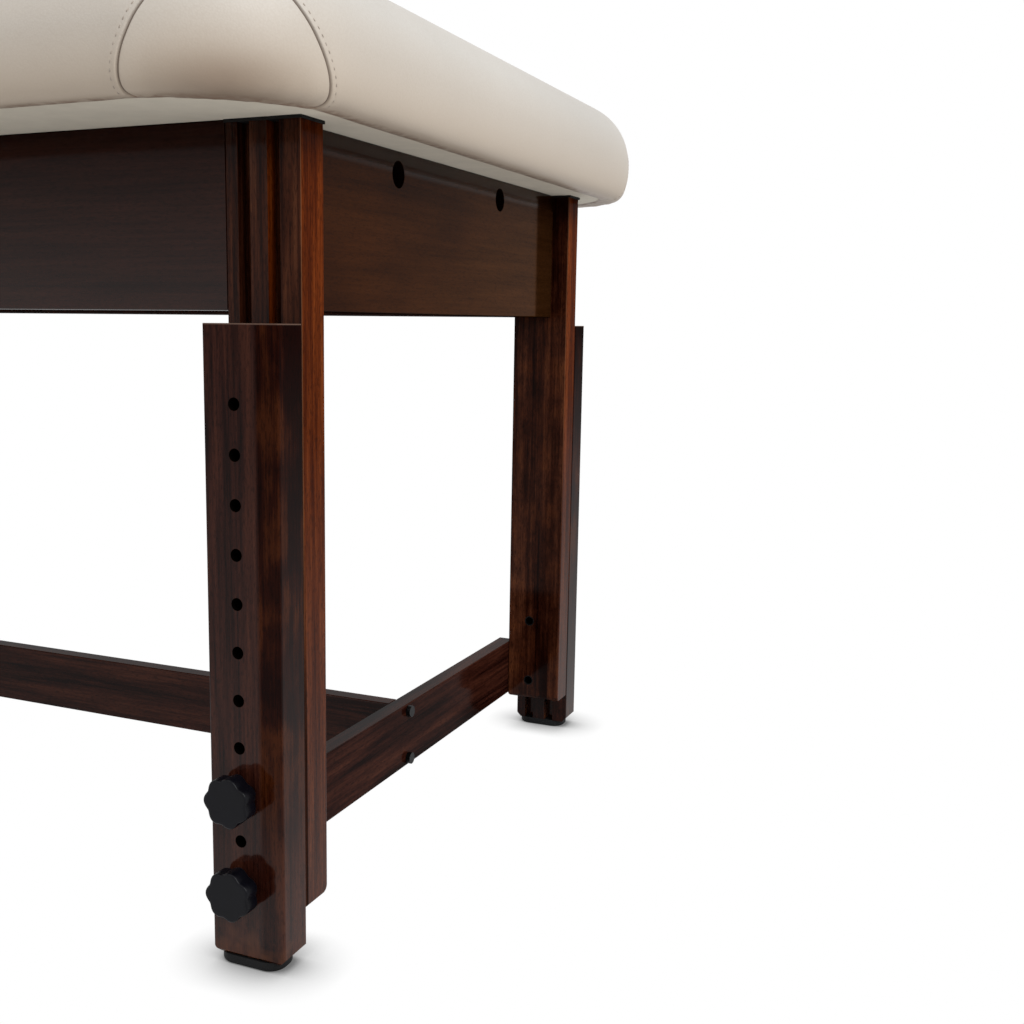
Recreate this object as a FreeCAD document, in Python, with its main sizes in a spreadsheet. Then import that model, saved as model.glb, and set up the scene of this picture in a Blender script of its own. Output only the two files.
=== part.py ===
"""Stationary massage table with a padded top on four corner legs that lengthen in steps.

Millimetres. +X runs to the head end, +Y to the far side, +Z up, and the origin is on the floor under the
middle of the top. The legs stand at their lowest setting.
"""
import FreeCAD, Part
import math
import os

import Sketcher

SIZES = {
    # deck board and padded top
    "deck_length": 1820.0,
    "deck_width": 720.0,
    "deck_thickness": 12.0,
    "deck_corner_radius": 82.0,
    "vinyl_thickness": 1.5,
    "vinyl_hem": 42.0,
    "liner_thickness": 1.0,
    "liner_edge_inset": 0.5,
    "soft_clearance": 0.3,
    "pad_bulge": 15.0,
    "pad_bulge_height": 34.0,
    "pad_edge_height": 91.0,
    "pad_edge_round": 52.0,
    "pad_crown": 4.0,
    "pad_crown_inset": 140.0,
    # corner legs and their extensions
    "leg_width": 56.0,
    "leg_depth": 28.0,
    "leg_end_inset": 27.0,
    "leg_side_inset": 93.0,
    "fixed_leg_length": 515.0,
    "fixed_leg_clear": 37.0,
    "leg_toe_radius": 5.5,
    "edge_round": 1.5,
    "leg_pad_thickness": 2.0,
    "leg_pad_overhang": 1.0,
    "slide_gap": 0.4,
    "groove_width": 9.0,
    "groove_depth": 9.0,
    "inboard_groove_offset": 9.5,
    "outboard_groove_offset": 31.5,
    "key_length": 120.0,
    "key_rise": 6.0,
    "key_side_clearance": 0.3,
    "key_tip_clearance": 0.6,
    "hole_diameter": 8.0,
    "hole_pitch": 32.0,
    "hole_count": 11.0,
    "hole_end_margin": 50.0,
    "toe_chamfer": 4.5,
    "front_toe_chamfer": 2.2,
    # lock knobs and the inserts that they screw into
    "lock_line_offset": 23.0,
    "lock_spacing_steps": 2.0,
    "lock_insert_diameter": 10.0,
    "lock_insert_length": 18.0,
    "knob_diameter": 34.0,
    "knob_lobe_diameter": 11.0,
    "knob_lobes": 7.0,
    "knob_core_diameter": 29.0,
    "knob_grip_height": 12.0,
    "knob_hub_diameter": 18.0,
    "knob_hub_height": 5.0,
    "knob_gap": 0.3,
    # rubber feet
    "foot_length": 48.0,
    "foot_width": 28.0,
    "foot_height": 7.0,
    "foot_corner_radius": 12.0,
    "foot_inward_offset": 2.0,
    "foot_edge_round": 2.5,
    "foot_screw_spacing": 22.0,
    "foot_screw_diameter": 4.0,
    "foot_screw_length": 24.0,
    "foot_screw_head_diameter": 8.0,
    "foot_screw_recess": 3.0,
    "foot_screw_head_height": 2.5,
    # aprons, ribs, blocks and cleats under the deck
    "apron_height": 119.0,
    "apron_thickness": 18.0,
    "end_apron_inset": 17.0,
    "rib_height": 80.0,
    "rib_thickness": 18.0,
    "rib_spacing": 560.0,
    "cleat_size": 20.0,
    "corner_block_reach": 67.0,
    "corner_block_width": 40.0,
    "corner_block_height": 105.0,
    # face rest sockets in the head end
    "face_rest_diameter": 20.0,
    "face_rest_spacing": 200.0,
    "face_rest_drop": 17.0,
    "face_rest_block_length": 100.0,
    "face_rest_block_width": 46.0,
    "face_rest_block_height": 36.0,
    # stretchers
    "stretcher_height": 56.0,
    "stretcher_thickness": 16.0,
    "stretcher_rise": 3.0,
    "stretcher_overlap": 13.0,
    # fasteners
    "fit_clearance": 0.1,
    "leg_bolt_diameter": 8.0,
    "leg_bolt_head_diameter": 13.0,
    "leg_bolt_head_height": 5.0,
    "leg_bolt_spacing": 32.0,
    "leg_insert_diameter": 12.0,
    "leg_insert_length": 16.0,
    "stretcher_bolt_diameter": 6.0,
    "stretcher_bolt_head_diameter": 10.0,
    "stretcher_bolt_head_height": 4.0,
    "stretcher_bolt_length": 60.0,
    "stretcher_bolt_spacing": 43.0,
    "wood_screw_diameter": 4.5,
    "wood_screw_head_diameter": 9.0,
    "wood_screw_head_height": 2.5,
    "stretcher_screw_length": 30.0,
    "stretcher_screw_spacing": 28.0,
    "deck_screw_length": 30.0,
    "apron_screw_bite": 10.0,
    "side_apron_screw_spacing": 88.0,
    "end_apron_screw_spacing": 60.0,
}

# side names with their directions along X and Y
CORNERS = (
    ("head_near", 1, -1),
    ("head_far", 1, 1),
    ("foot_near", -1, -1),
    ("foot_far", -1, 1),
)
ENDS = (("head", 1), ("foot", -1))
SIDES = (("near", -1), ("far", 1))
AXES = {"x": FreeCAD.Vector(1, 0, 0), "y": FreeCAD.Vector(0, 1, 0), "z": FreeCAD.Vector(0, 0, 1)}

doc = FreeCAD.newDocument("MassageTable")
sheet = doc.addObject("Spreadsheet::Sheet", "Sizes")
nodes = []


class Term:
    """A length as a number and as the spreadsheet formula that gives it."""

    def __init__(self, value, text):
        self.value = float(value)
        self.text = text

    def __add__(self, other):
        other = term(other)
        return Term(self.value + other.value, f"({self.text} + {other.text})")

    def __sub__(self, other):
        other = term(other)
        return Term(self.value - other.value, f"({self.text} - {other.text})")

    def __mul__(self, factor):
        factor = term(factor)
        return Term(self.value * factor.value, f"{self.text} * {factor.text}")

    def __truediv__(self, divisor):
        return Term(self.value / divisor, f"{self.text} / {divisor}")

    def __neg__(self):
        return Term(-self.value, f"(-1 * {self.text})")


def term(value):
    """Gives a plain number the same form as a size of the sheet."""
    if isinstance(value, Term):
        return value
    return Term(value, f"({value:.9g})")


def fill_sheet():
    """Writes every driving size to the sheet and returns the sizes by name."""
    sizes = {}
    for row, (name, value) in enumerate(SIZES.items(), start=1):
        sheet.set(f"A{row}", name)
        sheet.set(f"B{row}", str(value))
        sheet.setAlias(f"B{row}", name)
        sizes[name] = Term(value, f"Sizes.{name}")
    doc.recompute()
    return sizes


class Sizes:
    """The driving sizes as attributes."""

    def __init__(self, sizes):
        self.__dict__.update(sizes)


d = Sizes(fill_sheet())


def bind(target, path, value):
    """Ties one property of an object to a formula of the sheet."""
    target.setExpression(path, term(value).text)


def bind_place(target, corner):
    """Ties an object's position to three formulas."""
    for axis, value in zip("xyz", corner):
        bind(target, f"Placement.Base.{axis}", value)


def low(side, start, size):
    """Lower end of a stretch that runs outward from start, on the positive or the negative side."""
    if side > 0:
        return term(start)
    return -(term(start) + size)


def outward(side, value):
    """The value on the positive side, or its mirror image."""
    if side > 0:
        return term(value)
    return -term(value)


def keep(label, piece):
    """Names a finished sub-part and adds it to the ones that are written."""
    piece.Label = label
    nodes.append(piece)
    return piece


def origin_plane(body, role):
    """One of a body's own base planes."""
    return next(feature for feature in body.Origin.OriginFeatures if feature.Role == role)


def new_body(name, corner):
    """An empty body at a bound position."""
    body = doc.addObject("PartDesign::Body", name)
    bind_place(body, corner)
    return body


def new_sketch(body, name, role, height=0.0):
    """An empty sketch on a base plane of its body, lifted off that plane by height."""
    sketch = body.newObject("Sketcher::SketchObject", name)
    sketch.AttachmentSupport = [(origin_plane(body, role), "")]
    sketch.MapMode = "FlatFace"
    height = term(height)
    sketch.AttachmentOffset = FreeCAD.Placement(FreeCAD.Vector(0, 0, height.value), FreeCAD.Rotation())
    bind(sketch, "AttachmentOffset.Base.z", height)
    return sketch


def pin_coordinate(sketch, kind, geometry, point, value):
    """Fixes one coordinate of a sketch point to a formula, measured from the sketch's origin."""
    value = term(value)
    if abs(value.value) < 1e-9:
        axis = -2 if kind == "DistanceX" else -1
        sketch.addConstraint(Sketcher.Constraint("PointOnObject", geometry, point, axis))
        return
    if value.value > 0:
        index = sketch.addConstraint(Sketcher.Constraint(kind, -1, 1, geometry, point, value.value))
    else:
        value = -value
        index = sketch.addConstraint(Sketcher.Constraint(kind, geometry, point, -1, 1, value.value))
    bind(sketch, f"Constraints[{index}]", value)


def draw_polygon(sketch, points):
    """Draws a closed outline of straight edges whose corners follow their formulas."""
    vectors = [FreeCAD.Vector(term(x).value, term(y).value, 0) for x, y in points]
    count = len(vectors)
    for start in range(count):
        sketch.addGeometry(Part.LineSegment(vectors[start], vectors[(start + 1) % count]), False)
    for start in range(count):
        sketch.addConstraint(Sketcher.Constraint("Coincident", start, 2, (start + 1) % count, 1))
    for start, (x, y) in enumerate(points):
        pin_coordinate(sketch, "DistanceX", start, 1, x)
        pin_coordinate(sketch, "DistanceY", start, 1, y)


def draw_rounded_rectangle(sketch, length, width, radius):
    """Draws a rectangle with round corners about the sketch's origin."""
    half_x = length / 2 - radius
    half_y = width / 2 - radius
    corners = ((1, 1, 0.0), (-1, 1, 0.5), (-1, -1, 1.0), (1, -1, 1.5))
    arcs = []
    for side_x, side_y, start in corners:
        centre = FreeCAD.Vector(side_x * half_x.value, side_y * half_y.value, 0)
        circle = Part.Circle(centre, FreeCAD.Vector(0, 0, 1), radius.value)
        arc = Part.ArcOfCircle(circle, start * math.pi, (start + 0.5) * math.pi)
        arcs.append(sketch.addGeometry(arc, False))
    lines = []
    for index, arc in enumerate(arcs):
        first = sketch.getPoint(arc, 2)
        second = sketch.getPoint(arcs[(index + 1) % 4], 1)
        lines.append(sketch.addGeometry(Part.LineSegment(first, second), False))
    for index, (side_x, side_y, start) in enumerate(corners):
        sketch.addConstraint(Sketcher.Constraint("Tangent", arcs[index], 2, lines[index], 1))
        sketch.addConstraint(Sketcher.Constraint("Tangent", lines[index], 2, arcs[(index + 1) % 4], 1))
        pin_coordinate(sketch, "DistanceX", arcs[index], 3, outward(side_x, half_x))
        pin_coordinate(sketch, "DistanceY", arcs[index], 3, outward(side_y, half_y))
        size = sketch.addConstraint(Sketcher.Constraint("Radius", arcs[index], radius.value))
        bind(sketch, f"Constraints[{size}]", radius)


def pad_sketch(body, sketch, length, name="Pad", reverse=False):
    """Thickens a sketch by a bound length."""
    pad = body.newObject("PartDesign::Pad", name)
    pad.Profile = sketch
    pad.Reversed = reverse
    bind(pad, "Length", length)
    doc.recompute()
    return pad


def soften(body, feature, radius, test, kind="Fillet"):
    """Rounds or chamfers the edges of a body's feature that pass a test."""
    names = [f"Edge{index}" for index, edge in enumerate(feature.Shape.Edges, start=1) if test(edge)]
    softened = body.newObject(f"PartDesign::{kind}", kind)
    softened.Base = (feature, names)
    bind(softened, "Radius" if kind == "Fillet" else "Size", radius)
    doc.recompute()
    return softened


def runs_along(edge, axis):
    """True for a straight edge along an axis."""
    if not isinstance(edge.Curve, Part.Line):
        return False
    return abs(edge.Curve.Direction.dot(axis)) > 0.999


def add_box(name, size, corner):
    """A box with bound sizes and a bound lower corner."""
    box = doc.addObject("Part::Box", name)
    for path, value in zip(("Length", "Width", "Height"), size):
        bind(box, path, value)
    bind_place(box, corner)
    return box


def add_cylinder(name, diameter, length, start, axis):
    """A cylinder along +X, +Y or +Z from a bound start point."""
    cylinder = doc.addObject("Part::Cylinder", name)
    cylinder.Placement.Rotation = FreeCAD.Rotation(AXES["z"], AXES[axis])
    bind(cylinder, "Radius", diameter / 2)
    bind(cylinder, "Height", length)
    bind_place(cylinder, start)
    return cylinder


def rod(name, side, axis, diameter, length, start):
    """A cylinder that runs outward along X or Y from start, on either side of the middle."""
    place = list(start)
    index = "xyz".index(axis)
    place[index] = low(side, start[index], length)
    return add_cylinder(name, diameter, length, place, axis)


def group(name, pieces):
    """Several separate solids in one sub-part."""
    compound = doc.addObject("Part::Compound", name)
    compound.Links = pieces
    return compound


def join(name, pieces):
    """Several overlapping or touching solids made into one."""
    fused = doc.addObject("Part::MultiFuse", name)
    fused.Shapes = pieces
    return fused


def drill(name, base, tools):
    """The base with every tool cut out of it."""
    cut = doc.addObject("Part::Cut", name)
    cut.Base = base
    cut.Tool = group(f"{name}_tools", tools) if len(tools) > 1 else tools[0]
    return cut


def board(name, run, size, corner):
    """A straight board with softened long edges, along the axis named by run."""
    body = new_body(name, corner)
    across = {"x": ("YZ_Plane", 1, 2), "y": ("XZ_Plane", 0, 2), "z": ("XY_Plane", 0, 1)}
    role, first, second = across[run]
    width = term(size[first])
    height = term(size[second])
    sketch = new_sketch(body, f"{name}_section", role)
    draw_polygon(sketch, ((0, 0), (width, 0), (width, height), (0, height)))
    # the XZ plane faces -Y, so a board along Y is thickened backwards
    pad = pad_sketch(body, sketch, size["xyz".index(run)], f"{name}_pad", reverse=(run == "y"))
    soften(body, pad, d.edge_round, lambda edge: runs_along(edge, AXES[run]))
    return body


# places that several pieces share
deck_half_length = d.deck_length / 2
leg_end_x = deck_half_length - d.leg_end_inset
leg_x = leg_end_x - d.leg_width
leg_outer_y = d.deck_width / 2 - d.leg_side_inset
leg_y = leg_outer_y - d.leg_depth
extension_y = leg_outer_y + d.slide_gap
extension_outer_y = extension_y + d.leg_depth
leg_top_z = d.fixed_leg_clear + d.fixed_leg_length
under_z = leg_top_z + d.leg_pad_thickness
cover_z = under_z + d.liner_thickness
deck_z = cover_z + d.vinyl_thickness
foam_inset = d.vinyl_thickness + d.soft_clearance
apron_z = under_z - d.apron_height
side_apron_y = leg_outer_y - d.apron_thickness
end_apron_face_x = leg_end_x - d.end_apron_inset
end_apron_x = end_apron_face_x - d.apron_thickness
extension_length = d.hole_end_margin * 2 + d.hole_pitch * (d.hole_count - 1)
lock_x = leg_x + d.lock_line_offset
lower_lock_z = d.foot_height + d.hole_end_margin
upper_lock_z = lower_lock_z + d.hole_pitch * d.lock_spacing_steps
LOCKS = (("lower", lower_lock_z), ("upper", upper_lock_z))
stretcher_z = d.fixed_leg_clear + d.stretcher_rise
stretcher_back_x = leg_x - d.stretcher_thickness
stretcher_middle_z = stretcher_z + d.stretcher_height / 2
block_x = leg_x - d.corner_block_reach
block_y = leg_y - d.corner_block_width
block_z = under_z - d.corner_block_height
block_middle_z = under_z - d.corner_block_height / 2
cleat_y = side_apron_y - d.cleat_size
cleat_z = under_z - d.cleat_size
face_rest_z = under_z - d.face_rest_drop
screw_hole = d.wood_screw_diameter + d.fit_clearance * 2


def deck_turn():
    """Turn along the lower curve of the padded top at which the foam meets the deck."""
    drop = d.pad_bulge_height - d.vinyl_thickness - d.deck_thickness
    return math.degrees(math.acos(drop.value / (d.pad_bulge_height - foam_inset).value))


def pad_profile(inset):
    """Offsets from the deck's edge and heights of the padded top's section, inset from its skin."""
    inset = term(inset)
    points = []
    for degrees in (0, deck_turn() / 2, deck_turn()):
        turn = math.radians(degrees)
        offset = (d.pad_bulge - inset) * math.sin(turn)
        points.append((offset, d.pad_bulge_height - (d.pad_bulge_height - inset) * math.cos(turn)))
    middle_offset = d.pad_bulge - d.pad_edge_round
    for degrees in (0, 18, 36, 54, 72, 90):
        turn = math.radians(degrees)
        offset = middle_offset + (d.pad_edge_round - inset) * math.cos(turn)
        rise = (d.pad_edge_height - d.pad_bulge_height - inset) * math.sin(turn)
        points.append((offset, d.pad_bulge_height + rise))
    for share, rise in ((0.5, 0.7), (1, 1)):
        offset = middle_offset * (1 - share) - d.pad_crown_inset * share
        points.append((offset, d.pad_edge_height + d.pad_crown * rise - inset))
    return points


def pad_loft(body, name, profile, kind):
    """A soft closed form through round-cornered sections, added to or taken from its body."""
    sketches = []
    for index, (offset, height) in enumerate(profile):
        sketch = new_sketch(body, f"{name}_{index}", "XY_Plane", height)
        length = d.deck_length + offset * 2
        width = d.deck_width + offset * 2
        draw_rounded_rectangle(sketch, length, width, d.deck_corner_radius + offset * 0.5)
        sketches.append(sketch)
    loft = body.newObject(f"PartDesign::{kind}", name)
    loft.Profile = sketches[0]
    loft.Sections = sketches[1:]
    loft.Ruled = True
    doc.recompute()
    return loft


def make_vinyl_cover():
    """The sewn skin: wrapped round the foam and under the deck's edge, open under the middle."""
    body = new_body("VinylCover", (0, 0, cover_z))
    pad_loft(body, "cover_outside", pad_profile(0), "AdditiveLoft")
    pad_loft(body, "cover_inside", pad_profile(d.vinyl_thickness), "SubtractiveLoft")
    sketch = new_sketch(body, "cover_opening", "XY_Plane")
    hem = d.vinyl_hem * 2
    radius = d.deck_corner_radius - d.vinyl_hem
    draw_rounded_rectangle(sketch, d.deck_length - hem, d.deck_width - hem, radius)
    opening = body.newObject("PartDesign::Pocket", "cover_opening_cut")
    opening.Profile = sketch
    opening.Reversed = True
    bind(opening, "Length", d.vinyl_thickness)
    doc.recompute()
    keep("vinyl_cover", body)


def make_foam_core():
    """The foam block that the cover is pulled over, seated on the deck."""
    body = new_body("FoamCore", (0, 0, cover_z))
    pad_loft(body, "foam", pad_profile(foam_inset)[2:], "AdditiveLoft")
    keep("foam_core", body)


def flat_plate(name, length, width, radius, thickness, height):
    """A round-cornered plate about the middle of the table."""
    body = new_body(name, (0, 0, height))
    sketch = new_sketch(body, f"{name}_outline", "XY_Plane")
    draw_rounded_rectangle(sketch, length, width, radius)
    pad_sketch(body, sketch, thickness, f"{name}_pad")
    return body


def cleat_spans():
    """Inner and outer ends of the deck cleats along X: between the ribs, and from each rib to its block."""
    rib_inner = (d.rib_spacing - d.rib_thickness) / 2
    rib_outer = (d.rib_spacing + d.rib_thickness) / 2
    return rib_inner, rib_outer, block_x


def deck_screw_places():
    """X and Y of the screws that hold the deck to its cleats."""
    rib_inner, rib_outer, outer_end = cleat_spans()
    places = []
    for side_name, side in SIDES:
        y = outward(side, cleat_y + d.cleat_size / 2)
        places.append((term(0), y))
        for end_name, end in ENDS:
            places.append((outward(end, (rib_outer + outer_end) / 2), y))
            places.append((outward(end, rib_inner / 2), y))
    return places


def make_deck():
    """Deck board, pale liner under it, cleats along the side aprons and the screws through them."""
    edge = foam_inset * 2
    plate = flat_plate("Deck", d.deck_length - edge, d.deck_width - edge, d.deck_corner_radius,
                       d.deck_thickness, deck_z)
    edge = d.liner_edge_inset * 2
    sheet_part = flat_plate("LinerSheet", d.deck_length - edge, d.deck_width - edge, d.deck_corner_radius,
                            d.liner_thickness, under_z)
    hem = (d.vinyl_hem + d.soft_clearance) * 2
    middle = flat_plate("LinerMiddle", d.deck_length - hem, d.deck_width - hem,
                        d.deck_corner_radius - d.vinyl_hem, d.vinyl_thickness, cover_z)
    liner = join("Liner", [sheet_part, middle])
    rib_inner, rib_outer, outer_end = cleat_spans()
    cleats = []
    for side_name, side in SIDES:
        y = low(side, cleat_y, d.cleat_size)
        size = (rib_inner * 2, d.cleat_size, d.cleat_size)
        cleats.append(add_box(f"cleat_middle_{side_name}", size, (-rib_inner, y, cleat_z)))
        for end_name, end in ENDS:
            size = (outer_end - rib_outer, d.cleat_size, d.cleat_size)
            corner = (low(end, rib_outer, outer_end - rib_outer), y, cleat_z)
            cleats.append(add_box(f"cleat_{end_name}_{side_name}", size, corner))
    screws = []
    holes = []
    for index, (x, y) in enumerate(deck_screw_places()):
        shank = add_cylinder(f"deck_screw_shank_{index}", d.wood_screw_diameter, d.deck_screw_length,
                             (x, y, cleat_z), "z")
        head = add_cylinder(f"deck_screw_head_{index}", d.wood_screw_head_diameter,
                            d.wood_screw_head_height, (x, y, cleat_z - d.wood_screw_head_height), "z")
        screws.append(join(f"deck_screw_{index}", [shank, head]))
        holes.append(add_cylinder(f"deck_screw_hole_{index}", screw_hole,
                                  d.deck_screw_length + d.fit_clearance, (x, y, cleat_z), "z"))
    keep("deck_board", drill("DeckDrilled", plate, holes))
    keep("underside_liner", drill("LinerDrilled", liner, holes))
    keep("deck_cleats", drill("CleatsDrilled", group("Cleats", cleats), holes))
    keep("deck_screws", group("DeckScrews", screws))


def block_rows(spacing):
    """Two heights about the middle of the corner blocks."""
    return (block_middle_z - spacing / 2, block_middle_z + spacing / 2)


def side_screw_holes(side, end, diameter, extra):
    """Cylinders of the screws from one corner block into its side apron."""
    x = outward(end, (block_x + leg_x) / 2)
    length = side_apron_y - block_y + d.apron_screw_bite + extra
    rods = []
    for z in block_rows(d.side_apron_screw_spacing):
        rods.append(rod("side_screw", side, "y", diameter, length, (x, block_y, z)))
    return rods


def end_screw_holes(side, end, diameter, extra):
    """Cylinders of the screws from one corner block into its end apron."""
    y = outward(side, block_y + d.corner_block_width / 4)
    length = end_apron_x - block_x + d.apron_screw_bite + extra
    rods = []
    for z in block_rows(d.end_apron_screw_spacing):
        rods.append(rod("end_screw", end, "x", diameter, length, (block_x, y, z)))
    return rods


def make_aprons():
    """Two side aprons between the legs' inboard edges and two end aprons between the legs' inner faces."""
    for side_name, side in SIDES:
        size = (leg_x * 2, d.apron_thickness, d.apron_height)
        corner = (-leg_x, low(side, side_apron_y, d.apron_thickness), apron_z)
        plank = board(f"SideApron_{side_name}", "x", size, corner)
        holes = []
        for end_name, end in ENDS:
            holes += side_screw_holes(side, end, screw_hole, d.fit_clearance)
        keep(f"side_apron_{side_name}", drill(f"SideApronDrilled_{side_name}", plank, holes))
    for end_name, end in ENDS:
        size = (d.apron_thickness, leg_y * 2, d.apron_height)
        corner = (low(end, end_apron_x, d.apron_thickness), -leg_y, apron_z)
        plank = board(f"EndApron_{end_name}", "y", size, corner)
        holes = []
        for side_name, side in SIDES:
            holes += end_screw_holes(side, end, screw_hole, d.fit_clearance)
            if end > 0:
                y = outward(side, d.face_rest_spacing / 2)
                start = (end_apron_x, y, face_rest_z)
                holes.append(rod("face_rest_hole", 1, "x", d.face_rest_diameter, d.apron_thickness, start))
        keep(f"{end_name}_apron", drill(f"EndApronDrilled_{end_name}", plank, holes))


def make_ribs():
    """Two cross ribs that hold the deck flat between the side aprons."""
    for end_name, end in ENDS:
        size = (d.rib_thickness, side_apron_y * 2, d.rib_height)
        x = low(end, (d.rib_spacing - d.rib_thickness) / 2, d.rib_thickness)
        corner = (x, -side_apron_y, under_z - d.rib_height)
        keep(f"cross_rib_{end_name}", add_box(f"Rib_{end_name}", size, corner))


def make_corner_blocks():
    """Rebated blocks in the four corners, with their screws into the aprons."""
    screws = []
    for corner_name, end, side in CORNERS:
        reach = end_apron_x - block_x
        size = (reach, d.corner_block_width, d.corner_block_height)
        inner = add_box(f"block_{corner_name}", size,
                        (low(end, block_x, reach), low(side, block_y, d.corner_block_width), block_z))
        rebate = side_apron_y - leg_y
        size = (d.corner_block_reach, rebate, d.corner_block_height)
        outer = add_box(f"block_rebate_{corner_name}", size,
                        (low(end, block_x, d.corner_block_reach), low(side, leg_y, rebate), block_z))
        holes = side_screw_holes(side, end, screw_hole, d.fit_clearance)
        holes += end_screw_holes(side, end, screw_hole, d.fit_clearance)
        holes += leg_bolt_rods(side, end, d.leg_bolt_diameter + d.fit_clearance * 2, d.fit_clearance)
        block = join(f"BlockJoined_{corner_name}", [inner, outer])
        keep(f"corner_block_{corner_name}", drill(f"BlockDrilled_{corner_name}", block, holes))
        for shank in side_screw_holes(side, end, d.wood_screw_diameter, 0):
            x = outward(end, (block_x + leg_x) / 2)
            start = (x, block_y - d.wood_screw_head_height, 0)
            screws.append(headed(shank, side, "y", start))
        for shank in end_screw_holes(side, end, d.wood_screw_diameter, 0):
            y = outward(side, block_y + d.corner_block_width / 4)
            start = (block_x - d.wood_screw_head_height, y, 0)
            screws.append(headed(shank, end, "x", start))
    keep("apron_screws", group("ApronScrews", screws))


def headed(shank, side, axis, start):
    """A screw: the shank with a flat head on its inner end."""
    head = rod(f"{shank.Name}_head", side, axis, d.wood_screw_head_diameter, d.wood_screw_head_height, start)
    head.setExpression("Placement.Base.z", f"{shank.Name}.Placement.Base.z")
    return join(f"{shank.Name}_whole", [shank, head])


def leg_bolt_x():
    """The leg bolts pass through the stretch of the leg that the corner block covers."""
    return (leg_x + end_apron_x) / 2


def leg_bolt_rods(side, end, diameter, extra):
    """Cylinders of one leg's bolts, through the block and into the leg's inserts."""
    length = d.corner_block_width + d.leg_insert_length + extra
    x = outward(end, leg_bolt_x())
    return [rod("leg_bolt", side, "y", diameter, length, (x, block_y, z)) for z in block_rows(d.leg_bolt_spacing)]


def make_leg_bolts():
    """Hidden bolts and threaded inserts between the corner blocks and the legs."""
    bolts = []
    inserts = []
    for corner_name, end, side in CORNERS:
        x = outward(end, leg_bolt_x())
        shanks = leg_bolt_rods(side, end, d.leg_bolt_diameter, -d.fit_clearance)
        for shank, z in zip(shanks, block_rows(d.leg_bolt_spacing)):
            start = (x, block_y - d.leg_bolt_head_height, z)
            head = rod("leg_bolt_head", side, "y", d.leg_bolt_head_diameter, d.leg_bolt_head_height, start)
            bolts.append(join("leg_bolt_whole", [shank, head]))
            sleeve = rod("leg_insert", side, "y", d.leg_insert_diameter, d.leg_insert_length, (x, leg_y, z))
            bore = rod("leg_insert_bore", side, "y", d.leg_bolt_diameter + d.fit_clearance * 2,
                       d.leg_insert_length, (x, leg_y, z))
            inserts.append(drill("leg_insert_sleeve", sleeve, [bore]))
    keep("leg_bolts", group("LegBolts", bolts))
    keep("leg_bolt_inserts", group("LegInserts", inserts))


def leg_section(end, side, groove_side):
    """Outline of a leg with two grooves, in its inner face (groove_side 0) or outer face (groove_side 1)."""
    edges = []
    for offset in (d.inboard_groove_offset, d.outboard_groove_offset):
        edges.append((offset, offset + d.groove_width))
    face = d.leg_depth if groove_side else term(0)
    floor = d.leg_depth - d.groove_depth if groove_side else d.groove_depth
    plain = term(0) if groove_side else d.leg_depth
    points = [(term(0), plain), (d.leg_width, plain), (d.leg_width, face)]
    for first, last in reversed(edges):
        points += [(last, face), (last, floor), (first, floor), (first, face)]
    points.append((term(0), face))
    return [(outward(end, u), outward(side, v)) for u, v in points]


def leg_body(name, end, side, groove_side, length, corner):
    """A plain grooved leg, and the feature that its toe is shaped from."""
    body = new_body(name, corner)
    sketch = new_sketch(body, f"{name}_section", "XY_Plane")
    draw_polygon(sketch, leg_section(end, side, groove_side))
    return body, pad_sketch(body, sketch, length, f"{name}_pad")


def is_outer_x(edge):
    """True for an edge in one of the two faces across a leg's width."""
    across = abs(edge.CenterOfMass.x)
    return across < 0.01 or abs(across - d.leg_width.value) < 0.01


def is_upright(edge):
    """True for the four outer upright edges of a leg."""
    return runs_along(edge, AXES["z"]) and is_outer_x(edge)


def make_fixed_legs():
    """Corner posts with rounded toes, drilled for the lock inserts, leg bolts and stretcher screws."""
    pads = []
    for corner_name, end, side in CORNERS:
        corner = (outward(end, leg_x), outward(side, leg_y), d.fixed_leg_clear)
        body, pad = leg_body(f"FixedLeg_{corner_name}", end, side, 1, d.fixed_leg_length, corner)

        def is_toe(edge):
            middle = edge.CenterOfMass
            return runs_along(edge, AXES["x"]) and abs(middle.y) < 0.01 and abs(middle.z) < 0.01

        toe = soften(body, pad, d.leg_toe_radius, is_toe)
        soften(body, toe, d.edge_round, is_upright)
        holes = []
        for lock_name, z in LOCKS:
            start = (outward(end, lock_x), leg_y, z)
            holes.append(rod("lock_hole", side, "y", d.hole_diameter, d.leg_depth, start))
            holes.append(rod("lock_seat", side, "y", d.lock_insert_diameter, d.lock_insert_length, start))
        for z in block_rows(d.leg_bolt_spacing):
            start = (outward(end, leg_bolt_x()), leg_y, z)
            holes.append(rod("leg_insert_seat", side, "y", d.leg_insert_diameter, d.leg_insert_length, start))
        holes += stretcher_screw_rods(end, side, screw_hole, d.fit_clearance)
        keep(f"fixed_leg_{corner_name}", drill(f"FixedLegDrilled_{corner_name}", body, holes))
        width = d.leg_width + d.leg_pad_overhang
        depth = d.leg_depth + d.leg_pad_overhang
        corner = (low(end, leg_x, width), low(side, leg_y, depth), leg_top_z)
        pads.append(add_box(f"leg_pad_{corner_name}", (width, depth, d.leg_pad_thickness), corner))
    keep("leg_top_pads", group("LegTopPads", pads))


def make_lock_inserts():
    """Threaded sleeves in the fixed legs that the lock knobs screw into."""
    sleeves = []
    for corner_name, end, side in CORNERS:
        for lock_name, z in LOCKS:
            start = (outward(end, lock_x), leg_y, z)
            sleeve = rod("lock_insert", side, "y", d.lock_insert_diameter, d.lock_insert_length, start)
            bore = rod("lock_insert_bore", side, "y", d.hole_diameter, d.lock_insert_length, start)
            sleeves.append(drill("lock_insert_sleeve", sleeve, [bore]))
    keep("lock_inserts", group("LockInserts", sleeves))


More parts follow.
